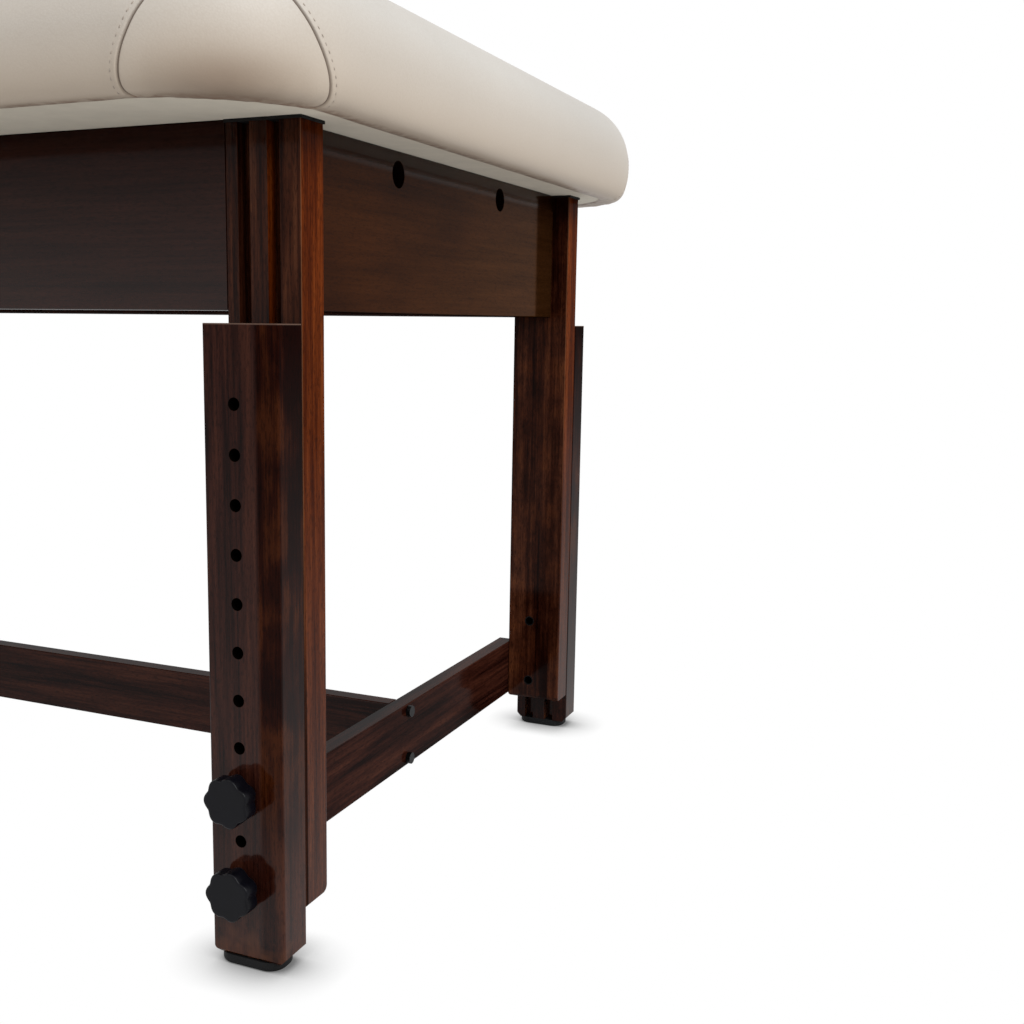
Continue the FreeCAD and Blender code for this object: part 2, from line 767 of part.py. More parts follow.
def make_guide_keys():
    """Keys glued in the foot of each fixed leg's grooves, which run in the extension's grooves."""
    keys = []
    width = d.groove_width - d.key_side_clearance * 2
    depth = d.groove_depth * 2 + d.slide_gap - d.key_tip_clearance
    for corner_name, end, side in CORNERS:
        for offset in (d.inboard_groove_offset, d.outboard_groove_offset):
            x = low(end, leg_x + offset + d.key_side_clearance, width)
            y = low(side, leg_outer_y - d.groove_depth, depth)
            corner = (x, y, d.fixed_leg_clear + d.key_rise)
            keys.append(add_box("guide_key", (width, depth, d.key_length), corner))
    keep("guide_keys", group("GuideKeys", keys))


def stretcher_screw_rods(end, side, diameter, extra):
    """Cylinders of the screws from an end stretcher's back into one leg's inboard edge."""
    y = outward(side, leg_y + d.stretcher_overlap / 2)
    rods = []
    for step in (-0.5, 0.5):
        z = stretcher_middle_z + d.stretcher_screw_spacing * step
        start = (stretcher_back_x, y, z)
        rods.append(rod("stretcher_screw", end, "x", diameter, d.stretcher_screw_length + extra, start))
    return rods


def stretcher_bolt_rows():
    """Heights of the two bolts that hold the long stretcher to each end stretcher."""
    half = d.stretcher_bolt_spacing / 2
    return (stretcher_middle_z - half, stretcher_middle_z + half)


def stretcher_bolt_rod(end, diameter, extra, z):
    """Cylinder of one bolt, from the end stretcher's face into the long stretcher."""
    length = d.stretcher_bolt_length + extra
    start = (leg_x - length, term(0), z)
    return rod("stretcher_bolt", end, "x", diameter, length, start)


def make_stretchers():
    """A stretcher between the legs at each end, and a long one between the two, with bolts and screws."""
    bolts = []
    screws = []
    long_holes = []
    half_span = leg_y + d.stretcher_overlap
    bolt_hole = d.stretcher_bolt_diameter + d.fit_clearance * 2
    for end_name, end in ENDS:
        size = (d.stretcher_thickness, half_span * 2, d.stretcher_height)
        corner = (low(end, stretcher_back_x, d.stretcher_thickness), -half_span, stretcher_z)
        plank = board(f"EndStretcher_{end_name}", "y", size, corner)
        holes = []
        for side_name, side in SIDES:
            holes += stretcher_screw_rods(end, side, screw_hole, d.fit_clearance)
            for shank in stretcher_screw_rods(end, side, d.wood_screw_diameter, 0):
                y = outward(side, leg_y + d.stretcher_overlap / 2)
                screws.append(headed(shank, end, "x", (stretcher_back_x - d.wood_screw_head_height, y, 0)))
        for z in stretcher_bolt_rows():
            holes.append(stretcher_bolt_rod(end, bolt_hole, d.fit_clearance, z))
            long_holes.append(stretcher_bolt_rod(end, bolt_hole, d.fit_clearance, z))
            shank = stretcher_bolt_rod(end, d.stretcher_bolt_diameter, 0, z)
            head = rod("stretcher_bolt_head", end, "x", d.stretcher_bolt_head_diameter,
                       d.stretcher_bolt_head_height, (leg_x, term(0), z))
            bolts.append(join("stretcher_bolt_whole", [shank, head]))
        keep(f"end_stretcher_{end_name}", drill(f"EndStretcherDrilled_{end_name}", plank, holes))
    size = (stretcher_back_x * 2, d.stretcher_thickness, d.stretcher_height)
    corner = (-stretcher_back_x, -d.stretcher_thickness / 2, stretcher_z)
    plank = board("LongStretcher", "x", size, corner)
    keep("long_stretcher", drill("LongStretcherDrilled", plank, long_holes))
    keep("stretcher_bolts", group("StretcherBolts", bolts))
    keep("end_stretcher_screws", group("StretcherScrews", screws))


def make_face_rest_blocks():
    """Drilled blocks behind the head apron that carry the rods of a face rest."""
    for side_name, side in SIDES:
        y = outward(side, d.face_rest_spacing / 2)
        size = (d.face_rest_block_length, d.face_rest_block_width, d.face_rest_block_height)
        x = end_apron_x - d.face_rest_block_length
        corner = (x, y - d.face_rest_block_width / 2, under_z - d.face_rest_block_height)
        block = add_box(f"FaceRestBox_{side_name}", size, corner)
        start = (x, y, face_rest_z)
        bore = rod("face_rest_bore", 1, "x", d.face_rest_diameter, d.face_rest_block_length, start)
        keep(f"face_rest_block_{side_name}", drill(f"FaceRestBlock_{side_name}", block, [bore]))


def foot_screw_places(end, side):
    """X and Y of the two screws of one foot."""
    y = outward(side, foot_middle_y())
    return [(outward(end, foot_middle_x() + d.foot_screw_spacing * step), y) for step in (-0.5, 0.5)]


def foot_middle_x():
    """The foot sits a little inward of the extension's middle."""
    return leg_x + d.leg_width / 2 - d.foot_inward_offset


def foot_middle_y():
    """The foot is centred under the extension."""
    return extension_y + d.leg_depth / 2


def make_extensions():
    """Extension legs with their row of holes, rubber feet and foot screws."""
    for corner_name, end, side in CORNERS:
        corner = (outward(end, leg_x), outward(side, extension_y), d.foot_height)
        body, pad = leg_body(f"Extension_{corner_name}", end, side, 0, extension_length, corner)

        def is_end_toe(edge):
            return runs_along(edge, AXES["y"]) and is_outer_x(edge) and abs(edge.CenterOfMass.z) < 0.01

        def is_front_toe(edge):
            middle = edge.CenterOfMass
            in_front = abs(abs(middle.y) - d.leg_depth.value) < 0.01
            return runs_along(edge, AXES["x"]) and in_front and abs(middle.z) < 0.01

        end_toes = soften(body, pad, d.toe_chamfer, is_end_toe, "Chamfer")
        front_toe = soften(body, end_toes, d.front_toe_chamfer, is_front_toe, "Chamfer")
        soften(body, front_toe, d.edge_round, is_upright)
        holes = []
        for step in range(int(d.hole_count.value)):
            z = lower_lock_z + d.hole_pitch * step
            start = (outward(end, lock_x), extension_y, z)
            holes.append(rod("setting_hole", side, "y", d.hole_diameter, d.leg_depth, start))
        foot_middle = (outward(end, foot_middle_x()), outward(side, foot_middle_y()), 0)
        foot = new_body(f"Foot_{corner_name}", foot_middle)
        sketch = new_sketch(foot, f"foot_outline_{corner_name}", "XY_Plane")
        draw_rounded_rectangle(sketch, d.foot_length, d.foot_width, d.foot_corner_radius)
        pad = pad_sketch(foot, sketch, d.foot_height, f"foot_pad_{corner_name}")
        soften(foot, pad, d.foot_edge_round, lambda edge: edge.BoundBox.ZMax < 0.01)
        screws = []
        foot_holes = []
        for x, y in foot_screw_places(end, side):
            shank_z = d.foot_screw_recess
            length = d.foot_screw_length - d.foot_screw_recess
            shank = add_cylinder("foot_screw_shank", d.foot_screw_diameter, length, (x, y, shank_z), "z")
            head = add_cylinder("foot_screw_head", d.foot_screw_head_diameter, d.foot_screw_head_height,
                                (x, y, shank_z - d.foot_screw_head_height), "z")
            screws.append(join("foot_screw_whole", [shank, head]))
            wide = d.foot_screw_diameter + d.fit_clearance * 2
            deep = d.foot_screw_length + d.fit_clearance
            hole = add_cylinder("foot_screw_hole", wide, deep, (x, y, term(0)), "z")
            seat = add_cylinder("foot_screw_seat", d.foot_screw_head_diameter + d.fit_clearance * 2,
                                d.foot_screw_recess, (x, y, term(0)), "z")
            holes.append(hole)
            foot_holes += [hole, seat]
        keep(f"extension_leg_{corner_name}", drill(f"ExtensionDrilled_{corner_name}", body, holes))
        keep(f"rubber_foot_{corner_name}", drill(f"FootDrilled_{corner_name}", foot, foot_holes))
        keep(f"foot_screws_{corner_name}", group(f"FootScrews_{corner_name}", screws))


def make_knobs():
    """Star knobs on the extensions' outer faces, in line with the lock inserts."""
    lobes = int(d.knob_lobes.value)
    reach = (d.knob_diameter - d.knob_lobe_diameter) / 2
    for corner_name, end, side in CORNERS:
        x = outward(end, lock_x)
        hub_y = extension_outer_y + d.knob_gap
        grip_y = hub_y + d.knob_hub_height
        for lock_name, z in LOCKS:
            pieces = [
                rod("knob_hub", side, "y", d.knob_hub_diameter, d.knob_hub_height, (x, hub_y, z)),
                rod("knob_core", side, "y", d.knob_core_diameter, d.knob_grip_height, (x, grip_y, z)),
            ]
            for index in range(lobes):
                turn = math.pi + 2 * math.pi * index / lobes
                start = (x + reach * math.cos(turn), grip_y, z + reach * math.sin(turn))
                pieces.append(rod("knob_lobe", side, "y", d.knob_lobe_diameter, d.knob_grip_height, start))
            keep(f"lock_knob_{corner_name}_{lock_name}", join(f"Knob_{corner_name}_{lock_name}", pieces))


def check_document():
    """Stops on any failed object or any sub-part without a valid shape."""
    doc.recompute()
    for piece in doc.Objects:
        bad = {"Invalid", "Error"} & set(piece.State)
        if bad:
            raise RuntimeError(f"{piece.Label} failed: {piece.State}")
    labels = [piece.Label for piece in nodes]
    if len(labels) != len(set(labels)):
        raise RuntimeError("two sub-parts share a name")
    for piece in nodes:
        if piece.Shape.isNull() or not piece.Shape.isValid() or not piece.Shape.Solids:
            raise RuntimeError(f"{piece.Label} has no valid solid")


def write_parts():
    """Writes each sub-part to its own file."""
    os.makedirs("parts", exist_ok=True)
    for piece in nodes:
        piece.Shape.exportStep(f"parts/{piece.Label}.step")
        box = piece.Shape.BoundBox
        print(f"{piece.Label}: {len(piece.Shape.Solids)} solids, {piece.Shape.Volume / 1000:.1f} cm3, "
              f"z {box.ZMin:.1f} to {box.ZMax:.1f}")
    print(f"{len(nodes)} sub-parts")


make_vinyl_cover()
make_foam_core()
make_deck()
make_aprons()
make_ribs()
make_corner_blocks()
make_leg_bolts()
make_fixed_legs()
make_lock_inserts()
make_guide_keys()
make_stretchers()
make_face_rest_blocks()
make_extensions()
make_knobs()
check_document()
write_parts()
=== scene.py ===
"""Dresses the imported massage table: materials, padded top, stitches, knobs, floor, light and camera."""

import math

import bmesh
import bpy
from mathutils import Matrix, Vector
from mathutils.kdtree import KDTree


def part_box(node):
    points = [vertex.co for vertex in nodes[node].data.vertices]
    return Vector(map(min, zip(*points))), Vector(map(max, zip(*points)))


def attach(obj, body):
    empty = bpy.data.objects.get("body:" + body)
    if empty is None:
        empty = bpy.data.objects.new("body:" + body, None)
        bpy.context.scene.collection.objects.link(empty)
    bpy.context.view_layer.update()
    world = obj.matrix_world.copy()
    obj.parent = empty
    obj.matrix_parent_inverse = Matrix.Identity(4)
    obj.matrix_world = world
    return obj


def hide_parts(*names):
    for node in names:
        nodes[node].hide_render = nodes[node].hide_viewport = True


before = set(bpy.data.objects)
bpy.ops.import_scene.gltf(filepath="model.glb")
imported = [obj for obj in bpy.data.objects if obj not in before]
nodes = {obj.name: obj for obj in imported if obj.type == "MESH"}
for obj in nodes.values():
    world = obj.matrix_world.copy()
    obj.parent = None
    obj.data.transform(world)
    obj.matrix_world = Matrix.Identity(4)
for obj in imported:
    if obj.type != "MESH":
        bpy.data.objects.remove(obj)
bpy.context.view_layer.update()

# sizes of the padded top, in metres, as in the model
DECK_LENGTH = 1.820
DECK_WIDTH = 0.720
CORNER_RADIUS = 0.082
TOP_RADIUS = 0.012
COVER_Z = 0.555
ROLL_Z = 0.5529
BULGE = 0.016
BULGE_Z = 0.589
SHOULDER_Z = 0.646
EDGE_ROUND = 0.053
CROWN = 0.004
CROWN_INSET = 0.140
WRAP = 0.008
CORNER_WRAP = 0.009

# places of the legs, locks and feet, in metres, as in the model
CORNERS = (("head_near", 1, -1), ("head_far", 1, 1), ("foot_near", -1, -1), ("foot_far", -1, 1))
LOCK_HEIGHTS = (("lower", 0.057), ("upper", 0.121))
LOCK_X = 0.850
LOWEST_HOLE = LOCK_HEIGHTS[0][1]
HOLE_PITCH = 0.032
HOLE_ROW = 10 * HOLE_PITCH
HOLE_RADIUS = 0.0041
HOLE_FADE = 0.0003
EXTENSION_TOP = 0.427
LEG_OUT_X = 0.883
LEG_OUT_Y = 0.267
LEG_IN_Y = 0.239
FOOT_X = 0.853
FOOT_Y = 0.2814


# colours and marks of the materials, with distances in metres
BLOTCH_STOPS = ((0.32, (0.60, 0.54, 0.54)), (0.50, (0.92, 0.88, 0.90)), (0.68, (1.0, 1.0, 1.0)))
FLECK_STOPS = ((0.36, (0.42, 0.40, 0.38)), (0.47, (1.0, 1.0, 1.0)))
MOTTLE_STOPS = ((0.36, (0.34, 0.26, 0.30)), (0.50, (0.78, 0.70, 0.74)), (0.66, (1.25, 1.15, 0.95)))
# painted shade on the tops of legs and aprons, under the deck
PAINTED_DECK_SHADE = (0.40, 0.36, 0.36, 1.0)
# painted shade at the tops of the legs' inward faces, under the deck and apron
PAINTED_LEG_TOP_SHADE = (0.52, 0.46, 0.46, 1.0)
# painted sheen: the end apron turns paler and greyer along Y towards the far leg
PAINTED_SHEEN = (1.45, 1.95, 3.20, 1.0)
# painted shadow of the far leg on the end apron beside its joint
JOINT_SHADOW = (0.50, 0.50, 0.60, 1.0)
JOINT_START = 0.046
JOINT_FULL = 0.040
# painted shade in the face-rest bores and on the end aprons' edges
BORE_AND_EDGE_SHADE = (0.0040, 0.0014, 0.0008, 1.0)
SCUFF = (0.100, 0.034, 0.014, 1.0)
# painted highlight along the fixed legs' outer upright edges
ARRIS_HIGHLIGHT = (0.200, 0.095, 0.048, 1.0)
ARRIS_START = 0.0008
ARRIS_FULL = 0.0003
# painted shade in the gap between a fixed leg and its extension
GAP_SHADE = (0.0060, 0.0030, 0.0020, 1.0)
GAP_START = 0.0026
GAP_FULL = 0.0016
# painted highlight along the extension's top edge
RIM_HIGHLIGHT = (0.170, 0.105, 0.080, 1.0)
RIM_START = 0.0010
RIM_FULL = 0.0004
# painted shade inside the setting holes
HOLE_SHADE = (0.0015, 0.0010, 0.0008, 1.0)
VINYL_STOPS = ((0.30, (0.556, 0.528, 0.486)), (0.72, (0.602, 0.573, 0.528)))
PIT_STOPS = ((0.10, (1.0, 1.0, 1.0)), (0.75, (0.90, 0.88, 0.86)))
# painted shade, warmer and darker, low on the cover and on its long sides
VINYL_SHADE = (0.465, 0.366, 0.270, 1.0)
LOW_SHADE_SHARE = 0.80
SIDE_SHADE_SHARE = 0.32
LOW_SHADE_RISE = 0.064
# painted shade on the lower bend of each corner panel
PAINTED_CORNER_SHADE = (0.255, 0.185, 0.132, 1.0)
# painted shade in the creases of the seams
SEAM_SHADE = (0.120, 0.082, 0.058, 1.0)
HEM = (0.200, 0.120, 0.075, 1.0)

# shares and places between which the marks of a wood fade
END_FACING = (0.45, 0.85)
INWARD_PRODUCT = (-0.12, -0.06)
END_COAT_X = (0.860, 0.868)
END_FACE_X = (0.850, 0.854)
END_RISE = (0.06, 0.48)
LAMELLA_FADE = 0.0016
LAMELLA_RISE = (0.05, 0.14)
FIGURE_RISE = (0.33, 0.40)
LEG_TOP_RISE = (0.36, 0.46)
ARRIS_RISE = (0.15, 0.32)
GAP_RISE = (0.15, 0.30)
PATCH_RANGE = (0.46, 0.62)

# each noise of a wood: stretch along the grain, scale, detail and roughness
GRAIN = {
    "bands": (0.06, 60.0, 3.0, 0.6),
    "streaks": (0.03, 330.0, 3.0, 0.7),
    "flecks": (0.20, 900.0, 1.0, 0.6),
    "blotches": (0.30, 16.0, 2.0, 0.6),
    "clouds": (0.55, 34.0, 2.0, 0.6),
    "mottle": (0.60, 75.0, 4.0, 0.65),
    "patches": (1.0, 55.0, 2.0, 0.6),
}


# materials

def new_material(name):
    """An empty material with its principled shader."""
    material = bpy.data.materials.new(name)
    material.use_nodes = True
    return material, material.node_tree, material.node_tree.nodes["Principled BSDF"]


def add_node(tree, kind, **values):
    """A shader node with the given properties and socket values."""
    node = tree.nodes.new(kind)
    for key, value in values.items():
        if key in node.inputs:
            node.inputs[key].default_value = value
        else:
            setattr(node, key, value)
    return node


def stretched_noise(tree, coordinates, stretch, scale, detail, offset=(0.0, 0.0, 0.0), rough=0.6):
    """Noise drawn out along the grain."""
    mapping = add_node(tree, "ShaderNodeMapping")
    mapping.inputs["Scale"].default_value = stretch
    mapping.inputs["Location"].default_value = offset
    tree.links.new(coordinates, mapping.inputs["Vector"])
    noise = add_node(tree, "ShaderNodeTexNoise", Scale=scale, Detail=detail, Roughness=rough)
    tree.links.new(mapping.outputs["Vector"], noise.inputs["Vector"])
    return noise.outputs["Fac"]


def ramp(tree, value, stops):
    """A colour ramp over (position, colour) stops."""
    node = add_node(tree, "ShaderNodeValToRGB")
    elements = node.color_ramp.elements
    while len(elements) < len(stops):
        elements.new(0.5)
    for element, (position, colour) in zip(elements, stops):
        element.position = position
        element.color = (*colour, 1.0)
    tree.links.new(value, node.inputs["Fac"])
    return node.outputs["Color"]


def mix_colours(tree, first, second, factor, blend="MIX"):
    """Two colours mixed by a value or a fixed number."""
    node = add_node(tree, "ShaderNodeMix", data_type="RGBA", blend_type=blend)
    for socket, value in (("A", first), ("B", second), ("Factor", factor)):
        link_or_set(tree, value, node.inputs[socket])
    return node.outputs["Result"]


def link_or_set(tree, value, socket):
    """Links a node's output to a socket, or sets the socket to a plain value."""
    if isinstance(value, bpy.types.NodeSocket):
        tree.links.new(value, socket)
    else:
        socket.default_value = value


def grey(tree, value, low, high, start=0.0, end=1.0):
    """A value moved from one range to another."""
    node = add_node(tree, "ShaderNodeMapRange")
    node.inputs["From Min"].default_value = start
    node.inputs["From Max"].default_value = end
    node.inputs["To Min"].default_value = low
    node.inputs["To Max"].default_value = high
    tree.links.new(value, node.inputs["Value"])
    return node.outputs["Result"]


def add_bump(tree, shader, height, strength, distance):
    """Bump from a height value."""
    bump = add_node(tree, "ShaderNodeBump", Strength=strength, Distance=distance)
    tree.links.new(height, bump.inputs["Height"])
    tree.links.new(bump.outputs["Normal"], shader.inputs["Normal"])


def maths(tree, operation, first, second=0.0):
    """A maths node on values or plain numbers."""
    node = add_node(tree, "ShaderNodeMath", operation=operation)
    link_or_set(tree, first, node.inputs[0])
    link_or_set(tree, second, node.inputs[1])
    return node.outputs["Value"]


def part_along_y(tree, vector):
    """The Y part of a vector."""
    parts = add_node(tree, "ShaderNodeSeparateXYZ")
    tree.links.new(vector, parts.inputs["Vector"])
    return parts.outputs["Y"]


def split(tree, vector):
    """The three parts of a vector, without their signs."""
    parts = add_node(tree, "ShaderNodeSeparateXYZ")
    tree.links.new(vector, parts.inputs["Vector"])
    return [maths(tree, "ABSOLUTE", parts.outputs[axis]) for axis in "XYZ"]


def near_holes(tree, coordinates):
    """1 inside the row of setting holes, otherwise 0."""
    x, _, z = split(tree, coordinates)
    across = maths(tree, "SUBTRACT", x, LOCK_X)
    level = maths(tree, "PINGPONG", maths(tree, "SUBTRACT", z, LOWEST_HOLE), HOLE_PITCH / 2)
    from_middle = maths(tree, "ABSOLUTE", maths(tree, "SUBTRACT", z, LOWEST_HOLE + HOLE_ROW / 2))
    past_row = maths(tree, "SUBTRACT", from_middle, HOLE_ROW / 2 + HOLE_PITCH / 4)
    level = maths(tree, "ADD", level, maths(tree, "MAXIMUM", past_row, 0.0))
    squares = [maths(tree, "POWER", maths(tree, "ABSOLUTE", side), 2.0) for side in (across, level)]
    reach = maths(tree, "SQRT", maths(tree, "ADD", *squares))
    return grey(tree, reach, 1.0, 0.0, HOLE_RADIUS, HOLE_RADIUS + HOLE_FADE)


def on_arris(tree, coordinates):
    """1 where a highlight is painted along a fixed leg's outer upright edges, fading towards the floor,
    otherwise 0.
    """
    x, y, z = split(tree, coordinates)
    out_x = grey(tree, x, 0.0, 1.0, LEG_OUT_X - ARRIS_START, LEG_OUT_X - ARRIS_FULL)
    outer = grey(tree, y, 0.0, 1.0, LEG_OUT_Y - ARRIS_START, LEG_OUT_Y - ARRIS_FULL)
    inner = grey(tree, y, 1.0, 0.0, LEG_IN_Y + ARRIS_FULL, LEG_IN_Y + ARRIS_START)
    edges = maths(tree, "MULTIPLY", out_x, maths(tree, "MAXIMUM", outer, inner))
    return maths(tree, "MULTIPLY", edges, grey(tree, z, 0.0, 0.8, *ARRIS_RISE))


def beside_extension(tree, coordinates, on_end):
    """1 on the edge of a fixed leg's end face beside its extension, where the gap's shade is painted,
    fading upwards, otherwise 0.
    """
    _, y, z = split(tree, coordinates)
    edge = grey(tree, y, 0.0, 1.0, LEG_OUT_Y - GAP_START, LEG_OUT_Y - GAP_FULL)
    edge = maths(tree, "MULTIPLY", on_end, edge)
    return maths(tree, "MULTIPLY", edge, grey(tree, z, 0.85, 0.0, *GAP_RISE))


def looks_inwards(tree, coordinates, normal):
    """1 on faces that look towards the table's middle along Y, otherwise 0."""
    product = maths(tree, "MULTIPLY", part_along_y(tree, coordinates), part_along_y(tree, normal))
    return grey(tree, product, 1.0, 0.0, *INWARD_PRODUCT)


def blend_values(tree, first, second, factor):
    """A value that goes from the first to the second as the factor goes from 0 to 1."""
    change = maths(tree, "SUBTRACT", second, first)
    return maths(tree, "ADD", first, maths(tree, "MULTIPLY", factor, change))


def wood_material(name, run, seed, tones, lacquer, contrast=0.18, end_tones=None, lamella=None,
                  holes=False, painted_leg_light=False, shaded=None, scuffed=None, paler=None):
    """Stained and lacquered wood with its grain along one axis.

    Faces that look along X may differ in tone, and so may a lamella glued on beyond a distance along X.
    lacquer gives the coat's weight at two heights (low, high, low weight, high weight), first for most
    faces and then for faces that look along X. shaded gives the heights between which a painted shade
    deepens under the deck, scuffed the heights between which scuff patches fade out, and paler the places
    along Y between which a painted sheen lightens the board, short of a painted shadow by the joint with
    the far leg. A board with paler has painted shade in its bores and on its edges. painted_leg_light
    paints shade under the deck on inward faces, a highlight on the outer upright edges and shade in the
    gap beside the extension. holes paints a highlight along the top edge and shade in the setting holes.
    """
    material, tree, shader = new_material(name)
    source = add_node(tree, "ShaderNodeTexCoord")
    coordinates = source.outputs["Object"]
    offset = (seed * 1.7, seed * 2.3, seed * 0.9)
    along = "xyz".index(run)

    def grain(kind):
        length, scale, detail, rough = GRAIN[kind]
        stretch = tuple(length if axis == along else 1.0 for axis in range(3))
        return stretched_noise(tree, coordinates, stretch, scale, detail, offset, rough)

    bands = grain("bands")
    streaks = grain("streaks")
    flecks = grain("flecks")
    tone = maths(tree, "ADD", maths(tree, "MULTIPLY", streaks, 0.75), grey(tree, bands, -0.35, 0.60))
    stops = (0.50 - contrast, 0.50, 0.50 + 1.1 * contrast)
    reach, _, height = split(tree, coordinates)
    facing = split(tree, source.outputs["Normal"])[0]
    on_end = grey(tree, facing, 0.0, 1.0, *END_FACING)
    colour = ramp(tree, tone, list(zip(stops, tones)))
    low, high, *weights = lacquer[0]
    coat = grey(tree, height, *weights, low, high)
    inwards = looks_inwards(tree, coordinates, source.outputs["Normal"])
    coat = maths(tree, "MULTIPLY", coat, grey(tree, inwards, 1.0, 0.35))
    if end_tones:
        coat = maths(tree, "MULTIPLY", coat, grey(tree, reach, 1.0, 0.6, *END_COAT_X))
        outer = maths(tree, "MULTIPLY", on_end, grey(tree, reach, 0.0, 1.0, *END_FACE_X))
        outer = maths(tree, "MULTIPLY", outer, grey(tree, height, 0.25, 1.0, *END_RISE))
        colour = mix_colours(tree, colour, ramp(tree, tone, list(zip(stops, end_tones))), outer)
    if lamella:
        strip = grey(tree, reach, 0.0, 1.0, lamella - LAMELLA_FADE, lamella + LAMELLA_FADE)
        strip = maths(tree, "MULTIPLY", strip, grey(tree, height, 0.35, 1.0, *LAMELLA_RISE))
        figure = maths(tree, "ADD", tone, grey(tree, grain("clouds"), -0.34, 0.34, 0.25, 0.75))
        figure = maths(tree, "ADD", figure, grey(tree, height, 0.0, -0.14, *FIGURE_RISE))
        colour = mix_colours(tree, colour, ramp(tree, figure, list(zip(stops, LAMELLA_TONES))), strip)
        coat = maths(tree, "MULTIPLY", coat, grey(tree, strip, 1.0, 0.3))
    low, high, *weights = lacquer[1]
    coat = blend_values(tree, coat, grey(tree, height, *weights, low, high), on_end)
    shade = ramp(tree, grain("blotches"), BLOTCH_STOPS)
    colour = mix_colours(tree, colour, shade, 0.8, "MULTIPLY")
    specks = ramp(tree, flecks, FLECK_STOPS)
    colour = mix_colours(tree, colour, specks, 0.12 / contrast, "MULTIPLY")
    # painted shade: darker towards the deck above
    if shaded:
        below_deck = grey(tree, height, 0.0, 1.0, *shaded)
        colour = mix_colours(tree, colour, PAINTED_DECK_SHADE, below_deck, "MULTIPLY")
    mottle = ramp(tree, grain("mottle"), MOTTLE_STOPS)
    colour = mix_colours(tree, colour, mottle, maths(tree, "MULTIPLY", inwards, 0.75), "MULTIPLY")
    # painted sheen along Y, a painted shadow by the far leg's joint, and painted shade in the bores and
    # on the edges
    if paler:
        across = part_along_y(tree, coordinates)
        lighter = grey(tree, across, 0.0, 1.0, *paler)
        colour = mix_colours(tree, colour, PAINTED_SHEEN, lighter, "MULTIPLY")
        by_leg = grey(tree, across, 0.0, 1.0, LEG_IN_Y - JOINT_START, LEG_IN_Y - JOINT_FULL)
        colour = mix_colours(tree, colour, JOINT_SHADOW, by_leg, "MULTIPLY")
        colour = mix_colours(tree, BORE_AND_EDGE_SHADE, colour, on_end)
        coat = maths(tree, "MULTIPLY", coat, on_end)
    if scuffed:
        patches = grey(tree, grain("patches"), 0.0, 0.5, *PATCH_RANGE)
        patches = maths(tree, "MULTIPLY", patches, grey(tree, inwards, 1.0, 0.0))
        patches = maths(tree, "MULTIPLY", patches, grey(tree, height, 1.0, 0.0, *scuffed))
        colour = mix_colours(tree, colour, SCUFF, patches)
    # painted shade under the deck on inward faces, a painted highlight along the outer upright edges and
    # painted shade in the gap beside the extension
    if painted_leg_light:
        under_deck = maths(tree, "MULTIPLY", inwards, grey(tree, height, 0.0, 1.0, *LEG_TOP_RISE))
        colour = mix_colours(tree, colour, PAINTED_LEG_TOP_SHADE, under_deck, "MULTIPLY")
        colour = mix_colours(tree, colour, ARRIS_HIGHLIGHT, on_arris(tree, coordinates))
        gap = beside_extension(tree, coordinates, on_end)
        colour = mix_colours(tree, colour, GAP_SHADE, gap)
        coat = maths(tree, "MULTIPLY", coat, grey(tree, gap, 1.0, 0.0))
    # a painted highlight along the extension's top edge, and painted shade inside the setting holes
    if holes:
        rim = grey(tree, height, 0.0, 0.75, EXTENSION_TOP - RIM_START, EXTENSION_TOP - RIM_FULL)
        colour = mix_colours(tree, colour, RIM_HIGHLIGHT, rim)
        inside = near_holes(tree, coordinates)
        colour = mix_colours(tree, colour, HOLE_SHADE, inside)
        coat = maths(tree, "MULTIPLY", coat, grey(tree, inside, 1.0, 0.0))
    tree.links.new(colour, shader.inputs["Base Color"])
    tree.links.new(grey(tree, streaks, 0.45, 0.60), shader.inputs["Roughness"])
    tree.links.new(coat, shader.inputs["Coat Weight"])
    shader.inputs["Coat Roughness"].default_value = 0.10
    shader.inputs["Specular IOR Level"].default_value = 0.0
    add_bump(tree, shader, flecks, 0.08, 0.0004)
    return material


def plain_wood(name, colour, run):
    """Unstained wood for the hidden pieces."""
    tones = [tuple(channel * share for channel in colour) for share in (0.62, 1.0, 1.15)]
    return wood_material(name, run, 4.0, tones, BARE)


def vertex_value(tree, name):
    """A value stored at the vertices of a piece."""
    node = add_node(tree, "ShaderNodeAttribute", attribute_name=name, attribute_type="GEOMETRY")
    return node.outputs["Fac"]


